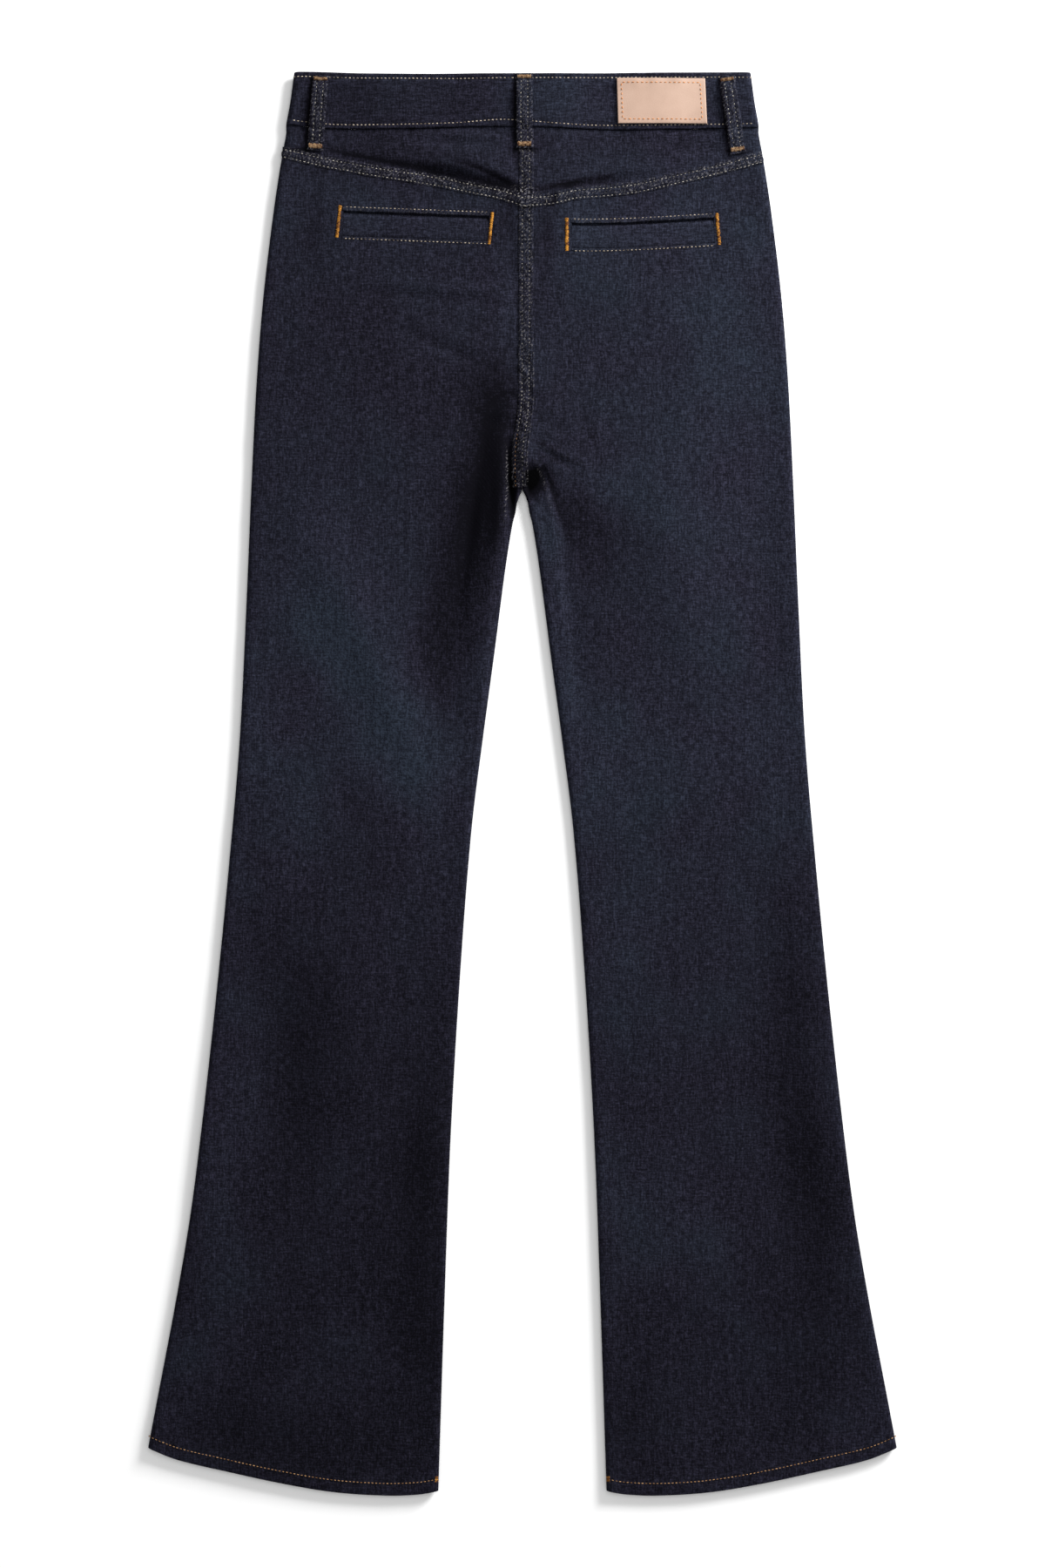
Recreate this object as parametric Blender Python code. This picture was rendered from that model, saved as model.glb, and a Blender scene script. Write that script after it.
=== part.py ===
"""Bootcut jeans lying flat, back side up.

Metres, +Z up. The front panels rest on z = 0, +Y points to the waist and +X
to the right as the back is seen from above. The origin is on the rest plane,
under the middle of the garment's outline.

Sizes are millimetres until a mesh is made. A place on the garment is
(x, down): x across from the middle, down from the waist's top edge.
"""

import math
from typing import NamedTuple

import bmesh
import bpy

MM = 0.001

# Driving dimensions
TOTAL_LENGTH = 1150.6       # waist's top edge to the lowest point of the hems
CROTCH_DOWN = 336.3         # leaves an inseam of 813 down the inner fold
BAND_DEPTH = 42.0           # waistband, top edge to seam
CLOTH_WALL = 1.2            # one layer of denim
BAND_WALL = 2.2             # folded waistband
HEM_WALL = 2.4              # turned hem
HEM_DEPTH = 10.5
SEAM_GAP = 0.3              # between neighbouring pieces
LAY_HEIGHT = 5.4            # rest plane to the back's outer face
FOLD_RISE = 0.8             # extra height along the side folds
FOLD_REACH = 12.0
CURL_RADIUS = 5.0           # how far in from a fold the cloth turns over
CROTCH_DIVE = 22.0          # length over which the seat seam dives between the legs
BAND_STEP = 1.0             # waistband's face above the yoke's face
FRONT_DIP = 14.0            # front waist below the back waist at the middle
MOUTH_GAP = 1.0             # open slit above a pocket welt

FLY_OVERLAP = 14.0          # left band end past the middle
FLY_UNDERLAP = -20.0        # right band end, inside the left one
UNDERLAP_RAMP = 22.0        # run in which the right band climbs over the left one
UNDERLAP_GAP = 0.8          # between the two lapped band ends

LOOP_WIDTH = 12.5
LOOP_THICKNESS = 1.6
FRONT_LOOP_X = 100.0
FRONT_LOOP_TOP = 12.0
FRONT_LOOP_LENGTH = 58.0

PATCH_WIDTH = 72.0
PATCH_DEPTH = 37.4
PATCH_THICKNESS = 1.4
PATCH_X = 76.8
PATCH_DOWN = 3.6

BUTTON_RADIUS = 8.5
BUTTON_HEAD = 2.4
SHANK_RADIUS = 2.3
BUTTON_DOWN = 35.0
BUTTONHOLE_LENGTH = 17.0
BUTTONHOLE_WIDTH = 6.4

ZIP_WIDTH = 22.0
ZIP_THICKNESS = 1.4
ZIP_TOP = 60.0
ZIP_LENGTH = 105.0

CURL_STEPS = 3
CUTTER_TOP = 30.0


class Curve:
    """A smooth line through the points of a table, level past its ends."""

    def __init__(self, points):
        self.points = sorted(points)
        self.slopes = []
        last = len(self.points) - 1
        for index in range(len(self.points)):
            before = self.points[max(index - 1, 0)]
            after = self.points[min(index + 1, last)]
            self.slopes.append((after[1] - before[1]) / (after[0] - before[0]))

    def __call__(self, at):
        if at <= self.points[0][0]:
            return self.points[0][1]
        if at >= self.points[-1][0]:
            return self.points[-1][1]
        index = max(i for i, point in enumerate(self.points) if point[0] <= at)
        (x0, y0), (x1, y1) = self.points[index:index + 2]
        run = x1 - x0
        t = (at - x0) / run
        rise0, rise1 = self.slopes[index] * run, self.slopes[index + 1] * run
        return (y0 * (2 * t ** 3 - 3 * t ** 2 + 1) + rise0 * (t ** 3 - 2 * t ** 2 + t)
                + y1 * (3 * t ** 2 - 2 * t ** 3) + rise1 * (t ** 3 - t ** 2))


class Side(NamedTuple):
    """Side fold: half the garment's width at a height."""
    down: float
    half_width: float


class Inseam(NamedTuple):
    """Inner fold of a leg: half the gap between the legs."""
    down: float
    half_gap: float


class SeatSeam(NamedTuple):
    """Centre-back seam, which wanders off the middle."""
    down: float
    x: float


class YokeSeam(NamedTuple):
    """Yoke seam, by the distance from the middle, on each side."""
    out: float
    left_down: float
    right_down: float


class BandSeam(NamedTuple):
    """Lower edge of the back waistband."""
    x: float
    down: float


class Hem(NamedTuple):
    """Lower edge of a leg, by the distance from the middle."""
    out: float
    down: float


SIDES = (
    Side(0.0, 184.0), Side(24.0, 187.5), Side(43.7, 190.0), Side(66.3, 194.2),
    Side(108.6, 200.2), Side(179.1, 208.7), Side(249.6, 214.3), Side(336.0, 218.6),
    Side(434.3, 222.8), Side(540.0, 228.1), Side(645.8, 237.2), Side(751.5, 247.6),
    Side(857.3, 259.4), Side(927.8, 268.6), Side(998.3, 280.6), Side(1068.8, 294.0),
    Side(1125.0, 304.6),
)
INSEAMS = (
    Inseam(336.3, 0.0), Inseam(345.0, 4.4), Inseam(355.3, 6.3), Inseam(363.8, 8.5),
    Inseam(399.0, 14.1), Inseam(469.5, 23.3), Inseam(540.0, 32.8), Inseam(610.5, 41.6),
    Inseam(716.3, 50.1), Inseam(857.3, 58.5), Inseam(998.3, 63.8), Inseam(1147.0, 68.6),
)
SEAT_SEAM = (
    SeatSeam(0.0, 3.2), SeatSeam(250.0, 3.2), SeatSeam(290.0, 1.4), SeatSeam(316.0, -0.4),
    SeatSeam(336.3, 0.0),
)
YOKE_SEAM = (
    YokeSeam(0.0, 104.5, 103.5), YokeSeam(20.0, 98.0, 102.0), YokeSeam(40.0, 94.0, 97.5),
    YokeSeam(66.0, 88.5, 95.5), YokeSeam(92.0, 84.2, 92.2), YokeSeam(130.0, 79.0, 83.5),
    YokeSeam(160.0, 74.0, 76.3), YokeSeam(196.0, 64.5, 67.0),
)
BAND_SEAM = (
    BandSeam(-192.0, 41.0), BandSeam(-156.0, 43.0), BandSeam(-10.0, 39.5),
    BandSeam(9.0, 41.4), BandSeam(76.0, 43.6), BandSeam(192.0, 41.4),
)
HEMS = (
    Hem(68.0, 1147.0), Hem(85.0, 1149.8), Hem(111.0, 1150.6), Hem(153.0, 1147.8),
    Hem(195.0, 1140.8), Hem(238.0, 1131.5), Hem(280.0, 1121.6), Hem(303.0, 1112.3),
)


class Bump(NamedTuple):
    """Where a hard piece under the cloth lifts the front and back layers."""
    x: float
    down: float
    half_width: float
    half_depth: float
    front_rise: float
    front_fade: float
    back_rise: float
    back_fade: float


BUMPS = (
    Bump(0.0, BUTTON_DOWN, 11.0, 11.0, 3.0, 34.0, 0.0, 1.0),
    Bump(-2.0, 28.0, 24.0, 32.0, 0.0, 1.0, 4.7, 62.0),
    Bump(-FRONT_LOOP_X, 41.0, 8.5, 32.0, 3.0, 30.0, 1.7, 44.0),
    Bump(FRONT_LOOP_X, 41.0, 8.5, 32.0, 3.0, 30.0, 1.7, 44.0),
)


class Ridge(NamedTuple):
    """A soft fold of the back, along a line that fades at both ends."""
    x0: float
    down0: float
    x1: float
    down1: float
    half_width: float
    height: float


RIDGES = (
    Ridge(-30.0, 268.0, -10.5, 350.0, 9.0, 2.2),       # left of the crotch
    Ridge(12.0, 286.0, 21.0, 350.0, 8.0, 2.0),         # right of the crotch
    Ridge(-112.0, 74.0, -2.0, 82.0, 13.0, 1.5),        # left yoke, above its seam
    Ridge(8.0, 84.0, 96.0, 80.0, 12.0, 0.9),           # right yoke, above its seam
    Ridge(-130.0, 184.0, 0.0, 182.0, 9.0, 1.0),        # seat
    Ridge(-190.0, 330.0, -58.0, 580.0, 26.0, 1.8),     # left thigh
    Ridge(166.0, 250.0, 132.0, 480.0, 28.0, 1.5),      # right thigh
    Ridge(-243.0, 670.0, -252.0, 1010.0, 24.0, 1.2),   # left shin
    Ridge(104.0, 850.0, 122.0, 1080.0, 28.0, 1.2),     # right shin
)


class Pocket(NamedTuple):
    """Welt pocket in a back panel: its mouth line and the welt's depth."""
    left_x: float
    left_down: float
    right_x: float
    right_down: float
    depth: float


LEFT_POCKET = Pocket(-144.9, 110.7, -26.8, 115.1, 20.4)
RIGHT_POCKET = Pocket(39.8, 120.4, 155.1, 116.3, 20.6)


class BackLoop(NamedTuple):
    """Belt loop over the back waistband, from its top to its foot."""
    name: str
    top_x: float
    top_down: float
    foot_x: float
    foot_down: float


BACK_LOOPS = (
    BackLoop("belt_loop_back_left", -163.2, 1.6, -167.8, 62.0),
    BackLoop("belt_loop_back_centre", 1.5, 0.6, 1.5, 61.0),
    BackLoop("belt_loop_back_right", 165.2, 2.2, 174.7, 64.5),
)


class LoopPoint(NamedTuple):
    """How far a loop's underside stands off the cloth along its length."""
    share: float
    stand_off: float


BACK_LOOP_ARCH = (
    LoopPoint(0.0, 1.35), LoopPoint(0.08, 1.35), LoopPoint(0.18, 2.7), LoopPoint(0.42, 3.1),
    LoopPoint(0.66, 2.6), LoopPoint(0.76, 1.9), LoopPoint(0.88, 0.35), LoopPoint(1.0, 0.35),
)
FRONT_LOOP_ARCH = (
    LoopPoint(0.0, 0.35), LoopPoint(0.1, 0.35), LoopPoint(0.22, 1.35), LoopPoint(0.7, 1.35),
    LoopPoint(0.86, 0.35), LoopPoint(1.0, 0.35),
)

BACK_PANEL_ROWS = (
    0.0, 0.022, 0.05, 0.085, 0.12, 0.15, 0.175, 0.195, 0.21, 0.2222, 0.231, 0.243, 0.262,
    0.29, 0.325, 0.365, 0.41, 0.46, 0.51, 0.56, 0.61, 0.66, 0.71, 0.76, 0.81, 0.86, 0.905,
    0.94, 0.968,
)
FRONT_PANEL_ROWS = (
    0.0, 0.017, 0.032, 0.05, 0.11, 0.16, 0.21, 0.24, 0.2565, 0.27, 0.29, 0.33, 0.39, 0.46, 0.54,
    0.62, 0.7, 0.78, 0.86, 0.92, 0.965,
)
YOKE_ROWS = (0.0, 0.33, 0.66, 1.0)
BAND_ROWS = (0.0, 0.5, 1.0)
FRONT_PANEL_COLUMNS = (0.0, 0.15, 0.3, 0.47, 0.575, 0.74, 1.0)

side_line = Curve(SIDES)
inseam_line = Curve(INSEAMS)
seat_line = Curve(SEAT_SEAM)
left_yoke_line = Curve([(row.out, row.left_down) for row in YOKE_SEAM])
right_yoke_line = Curve([(row.out, row.right_down) for row in YOKE_SEAM])
band_line = Curve(BAND_SEAM)
hem_line = Curve(HEMS)


def ease(t):
    """Smooth step from 0 to 1."""
    t = min(max(t, 0.0), 1.0)
    return t * t * (3.0 - 2.0 * t)


def mix(a, b, t):
    return a + (b - a) * t


def even_shares(count):
    return tuple(step / count for step in range(count + 1))


# Outline

def left_side(down):
    return -side_line(down)


def right_side(down):
    return side_line(down)


def inner_edge(side, down, centre):
    """Centre seam above the crotch, inner fold of a leg below it."""
    if down <= CROTCH_DOWN:
        return centre(down) + side * SEAM_GAP / 2
    return side * max(inseam_line(down), SEAM_GAP / 2)


def front_centre(_down):
    return 0.0


def front_waist(x):
    """Front waist's top edge, which dips in the middle."""
    return FRONT_DIP * math.cos(0.5 * math.pi * min(abs(x) / SIDES[0].half_width, 1.0)) ** 2


def yoke_seam(x):
    """Yoke seam under a place on the back; its two halves meet on the seat seam."""
    offset = x - SEAT_SEAM[0].x
    return left_yoke_line(-offset) if offset < 0 else right_yoke_line(offset)


def hem_edge(x):
    return hem_line(abs(x))


# Heights

def bump_rise(x, down, layer):
    """Rise of the front or back layer over the hard pieces under it."""
    total = 0.0
    for bump in BUMPS:
        rise, fade = ((bump.front_rise, bump.front_fade) if layer == "front"
                      else (bump.back_rise, bump.back_fade))
        away_x = max(abs(x - bump.x) - bump.half_width, 0.0)
        away_down = max(abs(down - bump.down) - bump.half_depth, 0.0)
        total += rise * ease(1.0 - math.hypot(away_x, away_down) / fade)
    return total


def ridge_rise(x, down):
    """Rise of the back's folds."""
    total = 0.0
    for ridge in RIDGES:
        run_x, run_down = ridge.x1 - ridge.x0, ridge.down1 - ridge.down0
        length = math.hypot(run_x, run_down)
        along = ((x - ridge.x0) * run_x + (down - ridge.down0) * run_down) / length ** 2
        if 0.0 < along < 1.0:
            away = ((x - ridge.x0) * run_down - (down - ridge.down0) * run_x) / length
            total += (ridge.height * math.sin(math.pi * along)
                      * math.exp(-(away / ridge.half_width) ** 2))
    return total


def fold_rise(x, down):
    """Extra height beside the side folds and the legs' inner folds."""
    rise = math.exp(-((side_line(down) - abs(x)) / FOLD_REACH) ** 2)
    if down > CROTCH_DOWN:
        growth = ease((down - CROTCH_DOWN) / CROTCH_DIVE)
        rise += growth * math.exp(-((abs(x) - inseam_line(down)) / FOLD_REACH) ** 2)
    return FOLD_RISE * min(rise, 1.0)


def front_face(x, down):
    """Outer face of the front, which looks down."""
    return bump_rise(x, down, "front")


def back_face(x, down):
    """Outer face of the back, without the waistband's step."""
    return (LAY_HEIGHT + fold_rise(x, down) + bump_rise(x, down, "back")
            + ridge_rise(x, down))


def band_face(x, down):
    """Outer face of the back waistband."""
    return back_face(x, down) + BAND_STEP


def underlap_face(x, down):
    """Outer face of the right front band, which climbs inside the left one's end."""
    climb = ease((FLY_OVERLAP + 2.0 + UNDERLAP_RAMP - x) / UNDERLAP_RAMP)
    return front_face(x, down) + climb * (BAND_WALL + UNDERLAP_GAP)


def crotch_curl(down):
    """How far the cloth turns down at the centre seam or inner fold, 0 to 1."""
    return ease((down - CROTCH_DOWN + CROTCH_DIVE) / CROTCH_DIVE)


def full_curl(_down):
    return 1.0


def no_curl(_down):
    return 0.0


# Meshes

def make_object(name, bm, material, sharp_angle=35.0):
    """Object from a bmesh in millimetres; (x, down, z) becomes world metres."""
    mesh = bpy.data.meshes.new(name)
    for vertex in bm.verts:
        x, down, z = vertex.co
        vertex.co = (x * MM, (TOTAL_LENGTH / 2 - down) * MM, z * MM)
    bmesh.ops.recalc_face_normals(bm, faces=bm.faces)
    bm.to_mesh(mesh)
    bm.free()
    mesh.shade_smooth()
    mesh.set_sharp_from_angle(angle=math.radians(sharp_angle))
    mesh.materials.append(material)
    created = bpy.data.objects.new(name, mesh)
    bpy.context.collection.objects.link(created)
    return created


def closed_shell(first, second):
    """Closed bmesh between two grids of points with the same rows and columns."""
    bm = bmesh.new()
    grids = [[[bm.verts.new(point) for point in row] for row in grid]
             for grid in (first, second)]
    rows, columns = len(first), len(first[0])
    for grid in grids:
        for i in range(rows - 1):
            for j in range(columns - 1):
                bm.faces.new((grid[i][j], grid[i][j + 1], grid[i + 1][j + 1], grid[i + 1][j]))
    near, far = grids
    rim = ([(0, j) for j in range(columns - 1)]
           + [(i, columns - 1) for i in range(rows - 1)]
           + [(rows - 1, j) for j in range(columns - 1, 0, -1)]
           + [(i, 0) for i in range(rows - 1, 0, -1)])
    for (i0, j0), (i1, j1) in zip(rim, rim[1:] + rim[:1]):
        bm.faces.new((near[i0][j0], near[i1][j1], far[i1][j1], far[i0][j0]))
    return bm


class Edge(NamedTuple):
    """One side of a cut piece: where it runs and how it curls over."""
    line: object
    curl: object


class Piece(NamedTuple):
    """A cut piece of cloth between two edges and two lines."""
    name: str
    left: Edge
    right: Edge
    top: object
    bottom: object
    rows: tuple
    columns: tuple
    face: object
    wall: float
    looks_up: bool
    hemmed: bool = False


def section_columns(piece):
    """Columns across a piece: (share of the flat part, edge that curls, angle)."""
    angles = [0.5 * math.pi * step / CURL_STEPS for step in range(CURL_STEPS)]
    columns = [(0.0, "left", angle) for angle in angles]
    columns += [(share, "flat", 0.0) for share in piece.columns]
    columns += [(1.0, "right", angle) for angle in reversed(angles)]
    return columns


def section_point(piece, column, down, wall, inside):
    """Point of a piece's outer or inner face on one row, in millimetres."""
    share, where, angle = column
    left_x, right_x = piece.left.line(down), piece.right.line(down)
    if where == "flat":
        x = mix(left_x + CURL_RADIUS, right_x - CURL_RADIUS, share)
        drop = 0.0
    else:
        edge = piece.left if where == "left" else piece.right
        curl = edge.curl(down)
        start = curl * wall if inside else 0.0
        reach = start + (CURL_RADIUS - start) * (1.0 - math.cos(angle))
        x = left_x + reach if where == "left" else right_x - reach
        drop = curl * (1.0 - math.sin(angle))
    outside = piece.face(x, down)
    seam = (LAY_HEIGHT + FOLD_RISE) / 2
    if piece.looks_up:
        level = outside - (wall if inside else 0.0)
        return x, down, mix(level, seam + SEAM_GAP / 2, drop)
    level = outside + (wall if inside else 0.0)
    return x, down, mix(level, seam - SEAM_GAP / 2, drop)


def row_down(piece, column, row):
    """Height of one row of a piece in one column."""
    down = mix(piece.top(0.0), piece.bottom(0.0), row)
    for _ in range(6):
        x = section_point(piece, column, down, piece.wall, False)[0]
        down = mix(piece.top(x) + SEAM_GAP / 2, piece.bottom(x) - SEAM_GAP / 2, row)
    return down


def cut_piece(piece, material):
    """Closed wall of cloth for a cut piece."""
    columns = section_columns(piece)
    outer, inner = [], []
    for row in piece.rows:
        outer.append([section_point(piece, column, row_down(piece, column, row),
                                    piece.wall, False) for column in columns])
        inner.append([section_point(piece, column, row_down(piece, column, row),
                                    piece.wall, True) for column in columns])
    if piece.hemmed:
        for above, wall in ((HEM_DEPTH + 1.0, piece.wall), (HEM_DEPTH, HEM_WALL),
                            (0.0, HEM_WALL)):
            downs = [row_down(piece, column, 1.0) - above for column in columns]
            outer.append([section_point(piece, column, down, wall, False)
                          for column, down in zip(columns, downs)])
            inner.append([section_point(piece, column, down, wall, True)
                          for column, down in zip(columns, downs)])
    return make_object(piece.name, closed_shell(outer, inner), material)


def strip(name, start, end, width, shares, level, thickness, material):
    """Closed strip of cloth from start to end, on the face that level gives."""
    run_x, run_down = end[0] - start[0], end[1] - start[1]
    length = math.hypot(run_x, run_down)
    side_x, side_down = -run_down / length * width / 2, run_x / length * width / 2
    low, high = [], []
    for share in shares:
        x, down = start[0] + run_x * share, start[1] + run_down * share
        low_row, high_row = [], []
        for across in (-1, 1):
            px, pd = x + across * side_x, down + across * side_down
            z = level(px, pd, share)
            low_row.append((px, pd, z))
            high_row.append((px, pd, z + thickness))
        low.append(low_row)
        high.append(high_row)
    return make_object(name, closed_shell(low, high), material)


def stand_off(arch, share):
    """Loop's distance off the cloth at a share of its length."""
    for first, second in zip(arch, arch[1:]):
        if share <= second.share:
            return mix(first.stand_off, second.stand_off,
                       (share - first.share) / (second.share - first.share))
    return arch[-1].stand_off


def hide_cutter(cutter):
    cutter.hide_render = True
    cutter.display_type = "WIRE"
    return cutter


def prism(name, corners, material):
    """Upright cutter through the whole cloth, over a ring of (x, down) corners."""
    bm = bmesh.new()
    low = [bm.verts.new((x, down, -CUTTER_TOP)) for x, down in corners]
    high = [bm.verts.new((x, down, CUTTER_TOP)) for x, down in corners]
    bm.faces.new(low)
    bm.faces.new(high)
    for index in range(len(corners)):
        following = (index + 1) % len(corners)
        bm.faces.new((low[index], low[following], high[following], high[index]))
    return hide_cutter(make_object(name, bm, material))


def add_boolean(target, operation, cutter):
    cut = target.modifiers.new(cutter.name, "BOOLEAN")
    cut.operation = operation
    cut.object = cutter


def pocket_corners(pocket, top, sides, bottom):
    """Ring of a pocket's window, drawn in by a gap on each edge."""
    return ((pocket.left_x + sides, pocket.left_down + top),
            (pocket.right_x - sides, pocket.right_down + top),
            (pocket.right_x - sides, pocket.right_down + pocket.depth - bottom),
            (pocket.left_x + sides, pocket.left_down + pocket.depth - bottom))


def welt_pocket(panel, side_name, pocket, material):
    """Cuts a pocket's window in a back panel and fills it with its welt."""
    welt = bpy.data.objects.new(f"welt_{side_name}", panel.data.copy())
    bpy.context.collection.objects.link(welt)
    window = prism(f"window_{side_name}", pocket_corners(pocket, 0.0, 0.0, 0.0), material)
    core = prism(f"welt_core_{side_name}",
                 pocket_corners(pocket, MOUTH_GAP, SEAM_GAP, SEAM_GAP), material)
    add_boolean(panel, "DIFFERENCE", window)
    add_boolean(welt, "INTERSECT", core)


def turned(name, centre, profile, material, segments=24):
    """Solid of revolution about a vertical axis; profile is (radius, z) upwards."""
    bm = bmesh.new()
    rings = []
    for radius, z in profile:
        rings.append([bm.verts.new((centre[0] + radius * math.cos(math.tau * k / segments),
                                    centre[1] + radius * math.sin(math.tau * k / segments),
                                    z)) for k in range(segments)])
    for low, high in zip(rings, rings[1:]):
        for k in range(segments):
            following = (k + 1) % segments
            bm.faces.new((low[k], low[following], high[following], high[k]))
    bm.faces.new(rings[0])
    bm.faces.new(rings[-1])
    return make_object(name, bm, material)


def make_material(name, colour, roughness, metallic):
    material = bpy.data.materials.new(name)
    material.use_nodes = True
    shader = material.node_tree.nodes["Principled BSDF"]
    shader.inputs["Base Color"].default_value = (*colour, 1.0)
    shader.inputs["Roughness"].default_value = roughness
    shader.inputs["Metallic"].default_value = metallic
    material.diffuse_color = (*colour, 1.0)
    return material


# Garment

def leg_edges(side, centre):
    """Left and right edges of a piece on one side of the garment."""
    middle = Edge(lambda down: inner_edge(side, down, centre), crotch_curl)
    if side < 0:
        return Edge(left_side, full_curl), middle
    return middle, Edge(right_side, full_curl)


def build_backs(material):
    for side, side_name, pocket in ((-1, "left", LEFT_POCKET), (1, "right", RIGHT_POCKET)):
        left, right = leg_edges(side, seat_line)
        cut_piece(Piece(f"yoke_{side_name}", left, right, band_line, yoke_seam, YOKE_ROWS,
                        even_shares(10), back_face, CLOTH_WALL, True), material)
        panel = cut_piece(Piece(f"back_{side_name}", left, right, yoke_seam, hem_edge,
                                BACK_PANEL_ROWS, even_shares(10), back_face, CLOTH_WALL,
                                True, True), material)
        welt_pocket(panel, side_name, pocket, material)


def front_band_seam(x):
    return front_waist(x) + BAND_DEPTH


def build_fronts(material):
    mirrored = tuple(1.0 - share for share in reversed(FRONT_PANEL_COLUMNS))
    for side, side_name, columns in ((-1, "left", mirrored), (1, "right", FRONT_PANEL_COLUMNS)):
        left, right = leg_edges(side, front_centre)
        cut_piece(Piece(f"front_{side_name}", left, right, front_band_seam, hem_edge,
                        FRONT_PANEL_ROWS, columns, front_face, CLOTH_WALL, False, True),
                  material)


def build_waistband(material):
    left_fold, right_fold = Edge(left_side, full_curl), Edge(right_side, full_curl)
    cut_piece(Piece("waistband_back", left_fold, right_fold, lambda _x: -SEAM_GAP / 2,
                    band_line, BAND_ROWS, even_shares(26), band_face, BAND_WALL, True), material)
    overlap = Edge(lambda _down: FLY_OVERLAP, no_curl)
    underlap = Edge(lambda _down: FLY_UNDERLAP, no_curl)
    left_band = cut_piece(Piece("waistband_front_left", left_fold, overlap, front_waist,
                                front_band_seam, BAND_ROWS, even_shares(16), front_face,
                                BAND_WALL, False), material)
    cut_piece(Piece("waistband_front_right", underlap, right_fold, front_waist,
                    front_band_seam, BAND_ROWS, even_shares(16), underlap_face, BAND_WALL,
                    False), material)
    half_width = BUTTONHOLE_WIDTH / 2
    centre = BUTTONHOLE_LENGTH / 2 - half_width
    arc = [math.radians(30 * step - 90) for step in range(7)]
    ring = [(centre + half_width * math.cos(a), BUTTON_DOWN + half_width * math.sin(a))
            for a in arc]
    ring += [(-centre - half_width * math.cos(a), BUTTON_DOWN - half_width * math.sin(a))
             for a in arc]
    add_boolean(left_band, "DIFFERENCE", prism("buttonhole", ring, material))


def build_belt_loops(material):
    shares = [point.share for point in BACK_LOOP_ARCH]
    for loop in BACK_LOOPS:
        strip(loop.name, (loop.top_x, loop.top_down), (loop.foot_x, loop.foot_down),
              LOOP_WIDTH, shares,
              lambda x, down, share: back_face(x, down) + stand_off(BACK_LOOP_ARCH, share),
              LOOP_THICKNESS, material)
    shares = [point.share for point in FRONT_LOOP_ARCH]
    for side, side_name in ((-1, "left"), (1, "right")):
        x = side * FRONT_LOOP_X
        strip(f"belt_loop_front_{side_name}", (x, FRONT_LOOP_TOP),
              (x, FRONT_LOOP_TOP + FRONT_LOOP_LENGTH), LOOP_WIDTH, shares,
              lambda x, down, share: (front_face(x, down) - LOOP_THICKNESS
                                      - stand_off(FRONT_LOOP_ARCH, share)),
              LOOP_THICKNESS, material)


def build_patch(material):
    down = PATCH_DOWN + PATCH_DEPTH / 2
    strip("waist_patch", (PATCH_X, down), (PATCH_X + PATCH_WIDTH, down), PATCH_DEPTH,
          even_shares(7),
          lambda x, down, _share: band_face(x, down) + SEAM_GAP, PATCH_THICKNESS, material)


def build_closure(metal, tape):
    shank_top = front_face(0.0, BUTTON_DOWN) + BAND_WALL
    turned("shank_button", (0.0, BUTTON_DOWN),
           ((BUTTON_RADIUS - 1.6, 0.0), (BUTTON_RADIUS - 0.4, 0.5), (BUTTON_RADIUS, 1.2),
            (BUTTON_RADIUS - 0.5, BUTTON_HEAD - 0.3), (BUTTON_RADIUS - 1.6, BUTTON_HEAD),
            (SHANK_RADIUS, BUTTON_HEAD), (SHANK_RADIUS, shank_top)), metal)
    strip("fly_zip", (0.0, ZIP_TOP), (0.0, ZIP_TOP + ZIP_LENGTH), ZIP_WIDTH,
          even_shares(6),
          lambda x, down, _share: front_face(x, down) + CLOTH_WALL + SEAM_GAP,
          ZIP_THICKNESS, tape)


def main():
    for existing in list(bpy.data.objects):
        bpy.data.objects.remove(existing)
    denim = make_material("denim", (0.022, 0.023, 0.037), 0.85, 0.0)
    leather = make_material("leather", (0.75, 0.50, 0.38), 0.6, 0.0)
    brass = make_material("brass", (0.42, 0.30, 0.16), 0.4, 1.0)
    tape = make_material("zip_tape", (0.03, 0.03, 0.045), 0.7, 0.0)
    build_waistband(denim)
    build_backs(denim)
    build_fronts(denim)
    build_belt_loops(denim)
    build_patch(leather)
    build_closure(brass, tape)


main()
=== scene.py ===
"""Looks of the bootcut jeans, which lie flat on a pale floor with their back up.

Sizes are millimetres until a mesh is made, and metres after that. A place on the garment is
(x, down): x across from the middle, down from the waist's top edge. Each piece of cloth is a
thin shell on the form of its solid, with the folds, puckers and roping of its seams.
"""

from __future__ import annotations

import logging
import math
from dataclasses import dataclass, field
from enum import Enum
from typing import Callable, NamedTuple, Sequence

import bmesh
import bpy
import numpy as np
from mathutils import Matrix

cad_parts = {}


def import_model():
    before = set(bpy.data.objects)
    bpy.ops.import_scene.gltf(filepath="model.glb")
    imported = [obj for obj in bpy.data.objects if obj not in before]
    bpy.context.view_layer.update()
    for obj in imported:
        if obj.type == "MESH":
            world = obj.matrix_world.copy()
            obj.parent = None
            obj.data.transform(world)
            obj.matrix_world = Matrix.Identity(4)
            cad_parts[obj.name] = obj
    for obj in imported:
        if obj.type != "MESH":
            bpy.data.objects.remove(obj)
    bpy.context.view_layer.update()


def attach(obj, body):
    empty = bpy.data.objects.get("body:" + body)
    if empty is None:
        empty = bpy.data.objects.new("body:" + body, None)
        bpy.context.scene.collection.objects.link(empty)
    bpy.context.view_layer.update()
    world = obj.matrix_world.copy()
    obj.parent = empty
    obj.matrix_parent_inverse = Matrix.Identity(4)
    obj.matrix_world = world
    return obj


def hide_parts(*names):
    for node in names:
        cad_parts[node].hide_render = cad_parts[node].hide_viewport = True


LOG = logging.getLogger("jeans")
Array = np.ndarray
Line = Callable[[Array], Array]
Height = Callable[[Array, Array], Array]
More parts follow.
